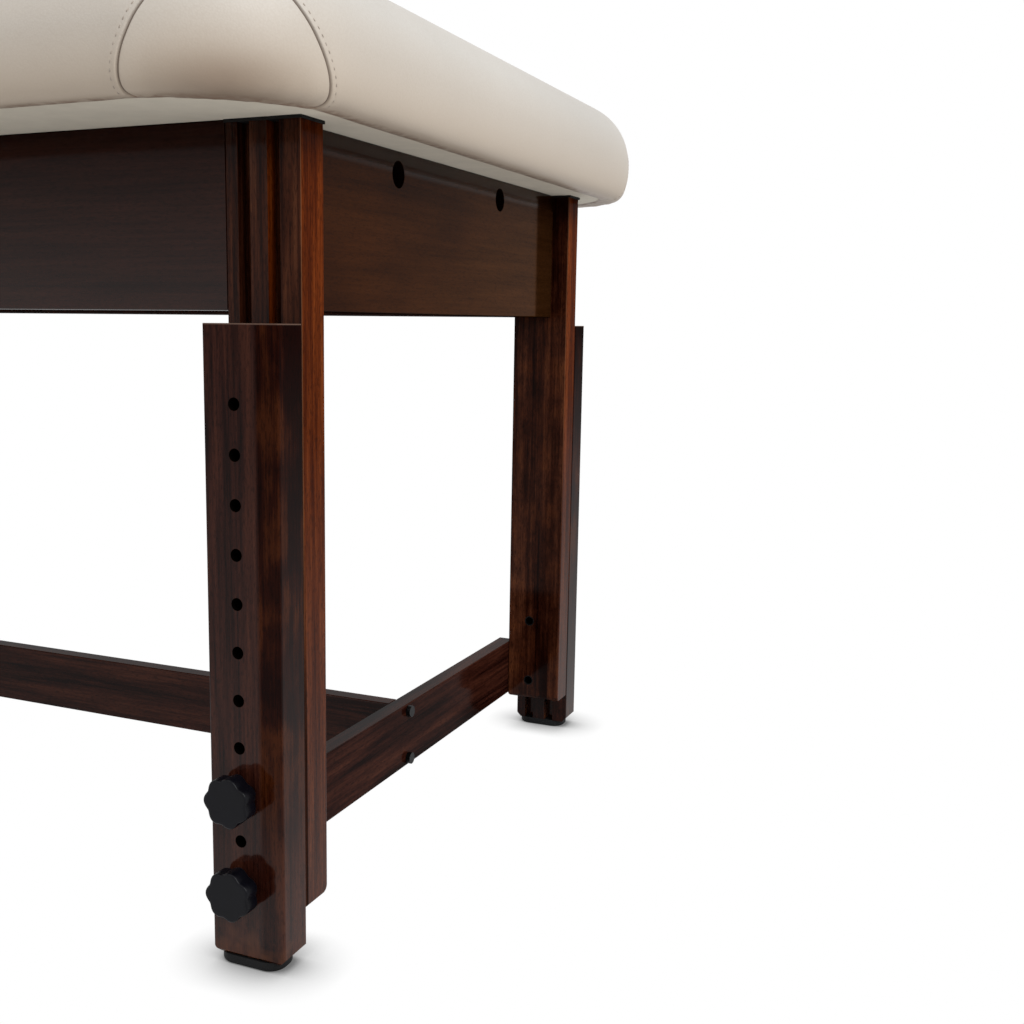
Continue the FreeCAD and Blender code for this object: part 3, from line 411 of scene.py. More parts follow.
def vinyl_material():
    """Cream upholstery vinyl with a fine pebbled grain."""
    material, tree, shader = new_material("vinyl_cream")
    source = add_node(tree, "ShaderNodeTexCoord")
    coordinates = source.outputs["Object"]
    cells = add_node(tree, "ShaderNodeTexVoronoi", Scale=760.0)
    tree.links.new(coordinates, cells.inputs["Vector"])
    fine = stretched_noise(tree, coordinates, (1, 1, 1), 420.0, 3.0)
    cloud = stretched_noise(tree, coordinates, (1, 1, 1), 6.0, 3.0)
    tint = ramp(tree, cloud, VINYL_STOPS)
    pits = ramp(tree, cells.outputs["Distance"], PIT_STOPS)
    colour = mix_colours(tree, tint, pits, 0.6, "MULTIPLY")
    # painted shade: warmer and darker low on the cover and on its long sides
    height = split(tree, coordinates)[2]
    low = grey(tree, height, LOW_SHADE_SHARE, 0.0, COVER_Z, COVER_Z + LOW_SHADE_RISE)
    facing = split(tree, source.outputs["Normal"])[1]
    sides = maths(tree, "MULTIPLY", maths(tree, "POWER", facing, 2.0), SIDE_SHADE_SHARE)
    colour = mix_colours(tree, colour, VINYL_SHADE, maths(tree, "MAXIMUM", low, sides))
    frayed = stretched_noise(tree, coordinates, (1, 1, 1), 130.0, 3.0)
    frayed = grey(tree, frayed, 0.25, 1.0, 0.38, 0.60)
    # painted shade on the bend of the corner panels
    colour = mix_colours(tree, colour, PAINTED_CORNER_SHADE, vertex_value(tree, "painted_corner_shade"))
    # painted shade in the seams' creases
    colour = mix_colours(tree, colour, SEAM_SHADE, vertex_value(tree, "seam"))
    hem = maths(tree, "MULTIPLY", vertex_value(tree, "hem"), frayed)
    colour = mix_colours(tree, colour, HEM, hem)
    tree.links.new(colour, shader.inputs["Base Color"])
    tree.links.new(grey(tree, fine, 0.40, 0.56), shader.inputs["Roughness"])
    shader.inputs["Specular IOR Level"].default_value = 0.35
    shader.inputs["Sheen Weight"].default_value = 0.06
    grain = maths(tree, "SUBTRACT", fine, maths(tree, "MULTIPLY", cells.outputs["Distance"], 0.7))
    add_bump(tree, shader, grain, 0.16, 0.0004)
    return material


def moulded_material(name, colour, roughness, bump=0.25, scale=1400.0, specular=0.15, spread=0.22):
    """Fine-textured plastic or rubber."""
    material, tree, shader = new_material(name)
    coordinates = add_node(tree, "ShaderNodeTexCoord").outputs["Object"]
    grain = stretched_noise(tree, coordinates, (1, 1, 1), scale, 2.0)
    cloud = stretched_noise(tree, coordinates, (1, 1, 1), 60.0, 2.0)
    low = tuple(channel * (1 - spread) for channel in colour)
    high = tuple(channel * (1 + spread) for channel in colour)
    tree.links.new(ramp(tree, cloud, ((0.3, low), (0.7, high))), shader.inputs["Base Color"])
    tree.links.new(grey(tree, grain, roughness - 0.07, roughness + 0.09), shader.inputs["Roughness"])
    shader.inputs["Specular IOR Level"].default_value = specular
    add_bump(tree, shader, grain, bump, 0.0003)
    return material


def metal_material(name, colour, roughness):
    """Plated steel with faint brushing."""
    material, tree, shader = new_material(name)
    coordinates = add_node(tree, "ShaderNodeTexCoord").outputs["Object"]
    brush = stretched_noise(tree, coordinates, (1.0, 1.0, 0.1), 700.0, 3.0)
    low = tuple(channel * 0.85 for channel in colour)
    tree.links.new(ramp(tree, brush, ((0.3, low), (0.7, colour))), shader.inputs["Base Color"])
    tree.links.new(grey(tree, brush, roughness - 0.06, roughness + 0.10), shader.inputs["Roughness"])
    shader.inputs["Metallic"].default_value = 1.0
    add_bump(tree, shader, brush, 0.05, 0.0002)
    return material


# each wood's dark, middle and light tone, and lacquer as wood_material takes it
BARE = ((0.0, 1.0, 0.0, 0.0), (0.0, 1.0, 0.0, 0.0))
LEG_TONES = ((0.0103, 0.0023, 0.0011), (0.0437, 0.0120, 0.0051), (0.0989, 0.0333, 0.0144))
LEG_END_TONES = ((0.0580, 0.0090, 0.0009), (0.1200, 0.0220, 0.0024), (0.2000, 0.0440, 0.0066))
EXTENSION_TONES = ((0.0086, 0.0020, 0.0013), (0.0311, 0.0085, 0.0052), (0.0648, 0.0198, 0.0108))
SIDE_TONES = ((0.0130, 0.0034, 0.0020), (0.0240, 0.0068, 0.0038), (0.0380, 0.0116, 0.0066))
END_TONES = ((0.0220, 0.0055, 0.0008), (0.0363, 0.0096, 0.0014), (0.0528, 0.0146, 0.0026))
LAMELLA_TONES = ((0.0085, 0.0012, 0.0005), (0.0190, 0.0032, 0.0010), (0.0480, 0.0118, 0.0032))
# the face-rest block is near black, as painted shade seen through the face-rest bores
SOCKET_SHADE_TONES = ((0.0030, 0.0016, 0.0010), (0.0060, 0.0032, 0.0020), (0.0100, 0.0055, 0.0032))

VINYL = vinyl_material()
WOODS = {
    "fixed_leg": wood_material("wood_fixed_leg", "z", 1.0, LEG_TONES,
                               ((0.06, 0.50, 0.36, 0.16), (0.06, 0.36, 0.36, 0.050)),
                               end_tones=LEG_END_TONES, painted_leg_light=True, shaded=(0.520, 0.552)),
    "extension_leg": wood_material("wood_extension", "z", 2.6, EXTENSION_TONES,
                                   ((0.03, 0.42, 0.48, 0.12), (0.03, 0.42, 0.42, 0.030)), lamella=0.8660,
                                   holes=True, scuffed=(0.016, 0.040)),
    "side_apron": wood_material("wood_side_apron", "x", 3.1, SIDE_TONES,
                                ((0.44, 0.55, 0.48, 0.11), (0.44, 0.55, 0.48, 0.11)), 0.26,
                                shaded=(0.528, 0.560)),
    "end_apron": wood_material("wood_end_apron", "y", 5.2, END_TONES,
                               ((0.537, 0.545, 0.085, 0.45), (0.537, 0.545, 0.085, 0.45)), 0.34,
                               shaded=(0.537, 0.545), paler=(-0.20, 0.24)),
    "long_stretcher": wood_material("wood_long_stretcher", "x", 6.4, EXTENSION_TONES,
                                    ((0.04, 0.10, 0.20, 0.20), (0.04, 0.10, 0.25, 0.25))),
    "end_stretcher": wood_material("wood_end_stretcher", "y", 7.7, EXTENSION_TONES,
                                   ((0.04, 0.10, 0.19, 0.19), (0.04, 0.10, 0.08, 0.08))),
    "face_rest_block": wood_material("wood_socket", "y", 8.3, SOCKET_SHADE_TONES, BARE),
}
PLYWOOD = plain_wood("plywood", (0.36, 0.235, 0.120), "x")
BLOCK_WOOD = plain_wood("block_wood", (0.300, 0.185, 0.095), "y")
LINER = moulded_material("liner_board", (0.705, 0.645, 0.540), 0.62, 0.2, 900.0, 0.2, 0.04)
KNOB_BLACK = moulded_material("knob_black", (0.0014, 0.0014, 0.0030), 0.34, 0.18, 1400.0, 0.14)
RUBBER = moulded_material("rubber_black", (0.0090, 0.0090, 0.0095), 0.62, 0.3)
CAP_BLACK = moulded_material("pad_black", (0.0060, 0.0055, 0.0055), 0.7, 0.3, 1400.0, 0.1)
BLACK_STEEL = metal_material("black_steel", (0.012, 0.012, 0.013), 0.46)
ZINC = metal_material("zinc_steel", (0.60, 0.60, 0.61), 0.34)
THREAD = moulded_material("thread", (0.390, 0.335, 0.285), 0.75, 0.3, 2400.0, 0.1)

NODE_MATERIALS = (
    ("fixed_leg", WOODS["fixed_leg"]),
    ("extension_leg", WOODS["extension_leg"]),
    ("side_apron", WOODS["side_apron"]),
    ("head_apron", WOODS["end_apron"]),
    ("foot_apron", WOODS["end_apron"]),
    ("long_stretcher", WOODS["long_stretcher"]),
    ("end_stretcher_screws", ZINC),
    ("end_stretcher", WOODS["end_stretcher"]),
    ("deck_board", PLYWOOD),
    ("underside_liner", LINER),
    ("corner_block", BLOCK_WOOD),
    ("cross_rib", BLOCK_WOOD),
    ("deck_cleats", PLYWOOD),
    ("face_rest_block", WOODS["face_rest_block"]),
    ("guide_keys", PLYWOOD),
    ("leg_top_pads", CAP_BLACK),
    ("rubber_foot", RUBBER),
    ("lock_knob", KNOB_BLACK),
    ("lock_inserts", BLACK_STEEL),
    ("stretcher_bolts", BLACK_STEEL),
    ("vinyl_cover", VINYL),
    ("foam_core", PLYWOOD),
)


def paint_nodes():
    """Gives every model node its material."""
    for name, node in nodes.items():
        material = next((paint for start, paint in NODE_MATERIALS if name.startswith(start)), ZINC)
        if not node.material_slots:
            node.data.materials.append(material)
        for slot in node.material_slots:
            slot.material = material


# meshes

def mesh_object(name, vertices, faces, material):
    """A new smooth piece from vertices and faces."""
    mesh = bpy.data.meshes.new(name)
    mesh.from_pydata(vertices, [], faces)
    mesh.validate()
    mesh.polygons.foreach_set("use_smooth", [True] * len(mesh.polygons))
    mesh.materials.append(material)
    piece = bpy.data.objects.new(name, mesh)
    bpy.context.scene.collection.objects.link(piece)
    return piece


def ring_faces(rings, count):
    """Quads between neighbouring closed rings of the same size."""
    faces = []
    for ring in range(rings - 1):
        for step in range(count):
            following = (step + 1) % count
            faces.append((ring * count + step, ring * count + following,
                          (ring + 1) * count + following, (ring + 1) * count + step))
    return faces


def ease(value):
    """Smooth step from 0 to 1."""
    value = min(max(value, 0.0), 1.0)
    return value * value * (3.0 - 2.0 * value)


# padded top

# steps of the mesh beside a seam, in metres, and counts of points along each panel
SEAM_STEPS = (0.0006, 0.0012, 0.0020, 0.0032, 0.0046, 0.0060, 0.0085, 0.0125)
SIDE_STEPS = SEAM_STEPS + (0.020, 0.030, 0.042, 0.056, 0.072, 0.090, 0.112)
PANEL_MIDDLE = 14
LONG_MIDDLE = 50
SHORT_MIDDLE = 12
# (offset from the deck's edge, height) of the rings wrapped under the deck, from the raw edge outwards
WRAP_PROFILE = ((-WRAP - 0.0018, 0.5538), (-WRAP, 0.5536), (-WRAP, 0.5531), (-0.6 * WRAP, ROLL_Z))
WRAP_RINGS = len(WRAP_PROFILE)
BULGE_RINGS = 10
EDGE_RINGS = 17
PROFILE_POWER = 0.72
FIRST_INSETS = (0.037, 0.045, 0.054, 0.065, 0.078, 0.095, 0.115)
TOP_INSETS = FIRST_INSETS + (0.140, 0.175, 0.215, 0.255, 0.295, 0.325, 0.345)

# seams, puckers, painted shade on the corners, swelling and stitches, in metres
TIP_RISE = 0.0857
# end seam and side seam: degrees at the cover's foot, and what each millimetre and its square add
SEAM_CURVES = ((9.3, 0.20, 0.0033), (89.5, -0.05, -0.0047))
SEAM_DEPTH = 0.0013
SEAM_WIDTH = 0.0007
SEAM_MARK_WIDTH = 0.00068
ALLOWANCE_RISE = 0.0006
ALLOWANCE_START = 0.0012
ALLOWANCE_END = 0.0054
ALLOWANCE_FADE = 0.0060
STITCH_LINE = 0.0046
STITCH_DENT = 0.0003
STITCH_DENT_WIDTH = 0.0010
STITCH_STEP = SEAM_STEPS.index(STITCH_LINE)
CORNER_PUCKER = 0.0006
CORNER_PUCKER_HEIGHT = 0.014
CORNER_PUCKER_RINGS = range(2, 10)
EDGE_PUCKER = 0.00025
EDGE_PUCKER_HEIGHT = 0.012
EDGE_PUCKER_RINGS = range(12)
CORNER_SHADE_Z = 0.558
CORNER_SHADE_HEIGHT = 0.018
CORNER_SHADE_MIDDLE = 0.58
CORNER_SHADE_SPREAD = 0.30
CORNER_SHADE_FADE = 0.02
CORNER_SHADE_STRENGTH = 0.85
FULL_PANEL = 0.060
VOXEL = 0.010
CLOTH_STEPS = 20
CLOTH_PRESSURE = 4.0
HELD_SEAM = 0.008
HELD_TOP_Z = 0.630
HELD_UNDER_Z = 0.556
HELD_FADE = 0.012
HELD_UNDER_FADE = 0.010
NEIGHBOURS = 8
NEIGHBOUR_REACH = 0.004
HEM_MARKS = (0.9, 0.9, 0.9, 0.9, 0.6)
NARROWEST = 0.004
SWELL_CAP = 0.004
STITCH_PITCH = 0.0048
STITCH_LENGTH = 0.0024
FIRST_STITCH = 0.002
STITCH_SIDES = 6
STITCH_RINGS = ((-0.5, -0.0003, 0.00022), (-0.3, 0.0000, 0.00034), (0.0, 0.0001, 0.00036),
                (0.3, 0.0000, 0.00034), (0.5, -0.0003, 0.00022))
LOOP = ((1, 1, True), (-1, 1, False), (-1, -1, True), (1, -1, False))


def seam_turns(rise):
    """Angles, from the table's end, of a corner panel's two seams at a height above the cover's foot."""
    level = min(max(rise, 0.0), TIP_RISE) * 1000
    return [math.radians(foot + slope * level + bend * level ** 2) for foot, slope, bend in SEAM_CURVES]


TIP_TURN = sum(seam_turns(TIP_RISE)) / 2


class Ring:
    """A level ring of the padded top, at an offset from the deck's edge."""

    def __init__(self, offset, z):
        self.z = z
        self.offset = offset
        self.radius = max(CORNER_RADIUS + offset, TOP_RADIUS)
        self.quarter = self.radius * math.pi / 2
        self.half_x = DECK_LENGTH / 2 + offset - self.radius
        self.half_y = DECK_WIDTH / 2 + offset - self.radius
        self.seams = [turn * self.radius for turn in seam_turns(z - COVER_Z)]
        first, last = self.seams
        if last - first < 2 * NARROWEST:
            first, last = TIP_TURN * self.radius - NARROWEST, TIP_TURN * self.radius + NARROWEST
        self.first, self.last = first, last

    def place(self, side_x, side_y, along):
        """The point at a distance along a corner's arc, running straight on past its ends."""
        turn = min(max(along / self.radius, 0.0), math.pi / 2)
        x = self.half_x + self.radius * math.cos(turn) - max(along - self.quarter, 0.0)
        y = self.half_y + self.radius * math.sin(turn) + min(along, 0.0)
        return Vector((side_x * x, side_y * y, self.z))

    def panel(self):
        """Distances along the arc of a corner panel's points, from its end seam to its side seam."""
        width = self.last - self.first
        scale = min(1.0, width / FULL_PANEL)
        near = [0.0] + [step * scale for step in SEAM_STEPS]
        gap = width - 2 * near[-1]
        middle = [near[-1] + gap * i / (PANEL_MIDDLE + 1) for i in range(1, PANEL_MIDDLE + 1)]
        return [self.first + d for d in near + middle + [width - step for step in reversed(near)]]

    def side_steps(self, long_side):
        """Distances along the arc of the points beside a corner panel."""
        room = self.half_x + self.quarter - self.last if long_side else self.half_y + self.first
        scale = min(1.0, 0.8 * room / SIDE_STEPS[-1])
        if long_side:
            return [self.last + step * scale for step in SIDE_STEPS]
        return [self.first - step * scale for step in SIDE_STEPS]

    def points(self):
        """All points of the ring as (point, corner, distance along the corner's arc)."""
        points = []
        for index, (side_x, side_y, to_side) in enumerate(LOOP):
            panel = self.panel()
            for along in panel if to_side else reversed(panel):
                points.append((self.place(side_x, side_y, along), (side_x, side_y), along))
            steps = self.side_steps(to_side)
            next_x, next_y, _ = LOOP[(index + 1) % 4]
            for along in steps:
                points.append((self.place(side_x, side_y, along), (side_x, side_y), along))
            here = self.place(side_x, side_y, steps[-1])
            there = self.place(next_x, next_y, steps[-1])
            count = LONG_MIDDLE if to_side else SHORT_MIDDLE
            for step in range(1, count + 1):
                points.append((here.lerp(there, step / (count + 1)), None, 0.0))
            for along in reversed(steps):
                points.append((self.place(next_x, next_y, along), (next_x, next_y), along))
        return points

    def seam_distance(self, corner, along, past_tip):
        """Distance from the nearest seam: below 0 on a corner panel, above 0 on the main panel."""
        if corner is None:
            return 1.0
        if past_tip > 0:
            return math.hypot(along - TIP_TURN * self.radius, past_tip)
        return max(self.seams[0] - along, along - self.seams[1])


def pad_rings():
    """The rings of the padded top, from the raw edge under the deck to the middle of the top."""
    rings = [Ring(*place) for place in WRAP_PROFILE]
    start = -0.15 * WRAP
    for step in range(BULGE_RINGS):
        turn = math.pi / 2 * step / BULGE_RINGS
        out = start + (BULGE - start) * math.sin(turn) ** PROFILE_POWER
        rise = 1 - math.cos(turn) ** PROFILE_POWER
        rings.append(Ring(out, ROLL_Z + (BULGE_Z - ROLL_Z) * rise))
    for step in range(EDGE_RINGS):
        turn = math.pi / 2 * step / EDGE_RINGS
        out = BULGE - EDGE_ROUND * (1 - math.cos(turn))
        rings.append(Ring(out, BULGE_Z + (SHOULDER_Z - BULGE_Z) * math.sin(turn)))
    shoulder = BULGE - EDGE_ROUND
    for inset in TOP_INSETS:
        share = min((inset + shoulder) / (CROWN_INSET + shoulder), 1.0)
        rings.append(Ring(-inset, SHOULDER_Z + CROWN * (1 - (1 - share) ** 2)))
    return rings


def corner_share(ring, along):
    """0 at a corner's ends, 1 in its middle."""
    return math.sin(math.pi * min(max(along / ring.quarter, 0.0), 1.0))


def make_pad(rings):
    """The padded top, before its cover is swollen and sewn."""
    vertices = []
    for index, ring in enumerate(rings):
        for point, corner, along in ring.points():
            if corner and index < WRAP_RINGS:
                pull = CORNER_WRAP * corner_share(ring, along)
                turn = along / ring.radius
                point -= Vector((corner[0] * math.cos(turn), corner[1] * math.sin(turn), 0.0)) * pull
            vertices.append(point)
    count = len(vertices) // len(rings)
    faces = ring_faces(len(rings), count)
    last = (len(rings) - 1) * count
    faces += bridge_ends(vertices, list(range(last, last + count)))
    pad = mesh_object("padded_top", vertices, faces, VINYL)
    face_outwards(pad)
    return pad


def bridge_ends(vertices, ring):
    """Quads across the last ring, between points that mirror each other."""
    far = [index for index in ring if vertices[index].y > 0]
    near = [index for index in ring if vertices[index].y < 0]
    mirrored = {(round(vertices[index].x, 5), round(-vertices[index].y, 5)): index for index in near}
    start = max(far, key=lambda index: (vertices[index].x, -vertices[index].y))
    first = ring.index(start)
    chain = [ring[(first + step) % len(ring)] for step in range(len(far))]
    pairs = []
    for index in chain:
        place = vertices[index]
        pairs.append((index, mirrored[(round(place.x, 5), round(place.y, 5))]))
    return [(a, c, d, b) for (a, b), (c, d) in zip(pairs, pairs[1:])]


def seam_shape(distance):
    """Rise of the cover across a seam: a tight valley, and a raised allowance under the main panel."""
    valley = -SEAM_DEPTH * math.exp(-(distance / SEAM_WIDTH) ** 2)
    if distance > 0:
        end = 1 - ease((distance - ALLOWANCE_END) / ALLOWANCE_FADE)
        allowance = ALLOWANCE_RISE * ease(distance / ALLOWANCE_START) * end
        stitch = -STITCH_DENT * math.exp(-((distance - STITCH_LINE) / STITCH_DENT_WIDTH) ** 2)
        return valley + allowance + stitch
    return valley


def past_tip_lengths(rings):
    """How far along the surface each ring lies past the tip of the corner panels."""
    lengths = []
    total = 0.0
    for index, ring in enumerate(rings):
        if ring.z - COVER_Z > TIP_RISE and index > WRAP_RINGS:
            before = rings[index - 1]
            low = max(before.z, COVER_Z + TIP_RISE)
            share = (ring.z - low) / (ring.z - before.z) if ring.z > before.z else 1.0
            total += share * math.hypot(ring.z - before.z, ring.offset - before.offset)
        lengths.append(total)
    return lengths


def corner_shade_mark(ring, along, distance):
    """How much shade is painted on the cover, on the bend of a corner panel."""
    across = math.exp(-((along / ring.quarter - CORNER_SHADE_MIDDLE) / CORNER_SHADE_SPREAD) ** 2)
    level = math.exp(-(max(ring.z - CORNER_SHADE_Z, 0.0) / CORNER_SHADE_HEIGHT) ** 2)
    return CORNER_SHADE_STRENGTH * across * level * ease(-distance / CORNER_SHADE_FADE)


def sew(pad, rings):
    """Presses the seams, the topstitching line and the puckers of the lower edge into the cover."""
    mesh = pad.data
    normals = [vertex.normal.copy() for vertex in mesh.vertices]
    marks = []
    hems = []
    corner_shades = []
    index = 0
    for level, (ring, past_tip) in enumerate(zip(rings, past_tip_lengths(rings))):
        for point, corner, along in ring.points():
            distance = ring.seam_distance(corner, along, past_tip)
            sewn = level >= WRAP_RINGS
            rise = seam_shape(distance) if sewn else 0.0
            marks.append(math.exp(-(distance / SEAM_MARK_WIDTH) ** 2) if sewn else 0.0)
            hems.append(HEM_MARKS[level] if level < len(HEM_MARKS) else 0.0)
            if corner and level in CORNER_PUCKER_RINGS:
                turn = along / ring.radius
                low = 1 - ease((ring.z - ROLL_Z) / CORNER_PUCKER_HEIGHT)
                folds = math.sin(turn * 47.0 + math.sin(turn * 13.0))
                rise += CORNER_PUCKER * low * corner_share(ring, along) * folds
            if level in EDGE_PUCKER_RINGS:
                low = 1 - ease((ring.z - ROLL_Z) / EDGE_PUCKER_HEIGHT)
                folds = math.sin(point.x * 190.0 + 2.0 * math.sin(point.y * 160.0))
                rise += EDGE_PUCKER * low * folds
            mesh.vertices[index].co += normals[index] * rise
            corner_shades.append(corner_shade_mark(ring, along, distance) if corner else 0.0)
            index += 1
    # marks for painted shade in the seams' creases and on the corners, and for the hem's raw edge
    for name, values in (("seam", marks), ("hem", hems), ("painted_corner_shade", corner_shades)):
        mesh.attributes.new(name, "FLOAT", "POINT").data.foreach_set("value", values)
    mesh.update()


def swell(pad, rings):
    """Swells the cover between its seams by a short cloth simulation under pressure."""
    work = bmesh.new()
    work.from_mesh(pad.data)
    bmesh.ops.holes_fill(work, edges=[edge for edge in work.edges if edge.is_boundary], sides=0)
    closed = bpy.data.meshes.new("cloth")
    work.to_mesh(closed)
    work.free()
    cloth = bpy.data.objects.new("cloth", closed)
    scene = bpy.context.scene
    scene.collection.objects.link(cloth)
    remesh = cloth.modifiers.new("even", "REMESH")
    remesh.mode = "VOXEL"
    remesh.voxel_size = VOXEL
    even = cloth.evaluated_get(bpy.context.evaluated_depsgraph_get())
    cloth.data = bpy.data.meshes.new_from_object(even)
    cloth.modifiers.clear()
    before = [vertex.co.copy() for vertex in cloth.data.vertices]
    seams = seam_tree(rings)
    held = cloth.vertex_groups.new(name="held")
    for index, place in enumerate(before):
        on_seam = 1 - ease((seams.find(place)[2] - HELD_SEAM) / HELD_FADE)
        on_top = ease((place.z - HELD_TOP_Z) / HELD_FADE)
        under = 1 - ease((place.z - HELD_UNDER_Z) / HELD_UNDER_FADE)
        held.add([index], min(max(on_seam, on_top, under), 1.0), "REPLACE")
    modifier = cloth.modifiers.new("swell", "CLOTH")
    settings = modifier.settings
    settings.quality = 4
    settings.use_pressure = True
    settings.uniform_pressure_force = CLOTH_PRESSURE
    settings.tension_stiffness = 25.0
    settings.compression_stiffness = 25.0
    settings.shear_stiffness = 10.0
    settings.bending_stiffness = 2.0
    settings.vertex_group_mass = "held"
    settings.effector_weights.gravity = 0.0
    for step in range(1, CLOTH_STEPS + 1):
        scene.frame_set(step)
    swollen = cloth.evaluated_get(bpy.context.evaluated_depsgraph_get()).to_mesh()
    tree = KDTree(len(before))
    moves = []
    for index, place in enumerate(before):
        move = swollen.vertices[index].co - place
        moves.append(move * min(1.0, SWELL_CAP / max(move.length, 1e-9)))
        tree.insert(place, index)
    tree.balance()
    scene.frame_set(1)
    bpy.data.objects.remove(cloth)
    for vertex in pad.data.vertices:
        found = tree.find_n(vertex.co, NEIGHBOURS)
        weights = [1.0 / (distance + NEIGHBOUR_REACH) ** 2 for _, _, distance in found]
        move = sum((moves[index] * weight for (_, index, _), weight in zip(found, weights)), Vector())
        vertex.co += move / sum(weights)
    pad.data.update()


def seam_tree(rings):
    """A search tree of points along all the corner seams."""
    places = []
    for ring, past_tip in zip(rings, past_tip_lengths(rings)):
        if past_tip == 0.0:
            for side_x, side_y, _ in LOOP:
                places += [ring.place(side_x, side_y, along) for along in ring.seams]
    tree = KDTree(len(places))
    for index, place in enumerate(places):
        tree.insert(place, index)
    tree.balance()
    return tree


def stitch_lines(pad, rings):
    """Runs of (place, normal) along the topstitching beside each seam."""
    vertices = pad.data.vertices
    count = len(vertices) // len(rings)
    panel = len(rings[0].panel())
    side = len(SIDE_STEPS)
    tip_lengths = past_tip_lengths(rings)
    lines = []
    start = 0
    for _, _, to_side in LOOP:
        middle = LONG_MIDDLE if to_side else SHORT_MIDDLE
        for column in (start - 1 - STITCH_STEP, start + panel + STITCH_STEP):
            column %= count
            run = [vertices[level * count + column] for level, past_tip in enumerate(tip_lengths)
                   if level > WRAP_RINGS and past_tip == 0.0]
            lines.append([(vertex.co.copy(), vertex.normal.copy()) for vertex in run])
        start += panel + 2 * side + middle
    return lines


def make_stitches(pad, rings):
    """Short raised stitches along every seam."""
    vertices = []
    faces = []
    for line in stitch_lines(pad, rings):
        travelled = 0.0
        following = FIRST_STITCH
        for (here, up), (there, _) in zip(line, line[1:]):
            length = (there - here).length
            while following < travelled + length:
                place = here.lerp(there, (following - travelled) / length)
                add_stitch(vertices, faces, place, (there - here).normalized(), up)
                following += STITCH_PITCH
            travelled += length
    stitches = mesh_object("topstitching", vertices, faces, THREAD)
    face_outwards(stitches)
    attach(stitches, "table_frame")


def add_stitch(vertices, faces, place, along, up):
    """One stitch: a rounded strand that dips into the cover at both ends."""
    across = along.cross(up).normalized()
    base = len(vertices)
    for share, rise, thick in STITCH_RINGS:
        for step in range(STITCH_SIDES):
            turn = 2 * math.pi / STITCH_SIDES * step
            out = across * math.cos(turn) + up * math.sin(turn)
            vertices.append(place + along * (share * STITCH_LENGTH) + up * rise + out * thick)
    for face in ring_faces(len(STITCH_RINGS), STITCH_SIDES):
        faces.append(tuple(base + corner for corner in face))
    last = base + STITCH_SIDES * (len(STITCH_RINGS) - 1)
    faces.append(tuple(range(base, base + STITCH_SIDES)))
    faces.append(tuple(range(last, last + STITCH_SIDES)))


def finish_pad(pad):
    """Smooths the padded top and ties it to the frame."""
    smooth = pad.modifiers.new("round", "SUBSURF")
    smooth.levels = 1
    smooth.render_levels = 1
    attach(pad, "table_frame")
    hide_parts("vinyl_cover", "foam_core")


# knobs

KNOB_RADIUS = 0.0171
KNOB_VALLEY = 0.0151
KNOB_BASE = 0.0003
KNOB_POINTS = 112
KNOB_LOBES = 7
KNOB_LOBE_POWER = 0.75
# (radius or inset, height) of the knob's round hub, lobed grip and round face
KNOB_HUB = ((0.0040, 0.0), (0.0086, 0.0), (0.0090, 0.0004), (0.0092, 0.0040), (0.0100, 0.0048))
KNOB_GRIP = ((0.0030, 0.0050), (0.0006, 0.0050), (0.0001, 0.0053), (0.0, 0.0060), (0.0, 0.0100),
             (0.0, 0.0160), (0.0002, 0.0165), (0.0006, 0.0169), (0.0013, 0.0170), (0.0028, 0.0170))
KNOB_FACE = ((0.0105, 0.01695), (0.0070, 0.0169), (0.0030, 0.0169))


def knob_outline(inset):
    """Lobed outline of the grip, inset towards its middle."""
    points = []
    for step in range(KNOB_POINTS):
        turn = 2 * math.pi * step / KNOB_POINTS
        lobe = (0.5 + 0.5 * math.cos(KNOB_LOBES * (turn - math.pi))) ** KNOB_LOBE_POWER
        radius = KNOB_VALLEY + (KNOB_RADIUS - KNOB_VALLEY) * lobe - inset
        points.append((radius * math.cos(turn), radius * math.sin(turn)))
    return points


def knob_rings():
    """(outline, height) of a knob from its hub to the middle of its face."""
    turns = [2 * math.pi * step / KNOB_POINTS for step in range(KNOB_POINTS)]
    circle = [(math.cos(turn), math.sin(turn)) for turn in turns]
    hub = [([(x * radius, y * radius) for x, y in circle], height) for radius, height in KNOB_HUB]
    grip = [(knob_outline(inset), height) for inset, height in KNOB_GRIP]
    face = [([(x * radius, y * radius) for x, y in circle], height) for radius, height in KNOB_FACE]
    return hub + grip + face


def make_knobs():
    """Star knobs with rounded lobes, one on each knob body."""
    rings = knob_rings()
    for corner, end, side in CORNERS:
        face_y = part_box(f"extension_leg_{corner}")[0 if side < 0 else 1].y
        for lock, height in LOCK_HEIGHTS:
            vertices = []
            for outline, rise in rings:
                y = face_y + side * (KNOB_BASE + rise)
                vertices += [(end * LOCK_X + x, y, height + z) for x, z in outline]
            faces = ring_faces(len(rings), KNOB_POINTS)
            faces.append(tuple(range(KNOB_POINTS)))
            last = (len(rings) - 1) * KNOB_POINTS
            faces.append(tuple(range(last, last + KNOB_POINTS)))
            knob = mesh_object(f"knob_{corner}_{lock}", vertices, faces, KNOB_BLACK)
            face_outwards(knob)
            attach(knob, f"knob_{corner}_{lock}")
            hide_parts(f"lock_knob_{corner}_{lock}")


def face_outwards(piece):
    """Turns all faces of a piece outwards."""
    work = bmesh.new()
    work.from_mesh(piece.data)
    bmesh.ops.recalc_face_normals(work, faces=work.faces)
    work.to_mesh(piece.data)
    work.free()


# stage, light and camera, in metres unless a name says pixels

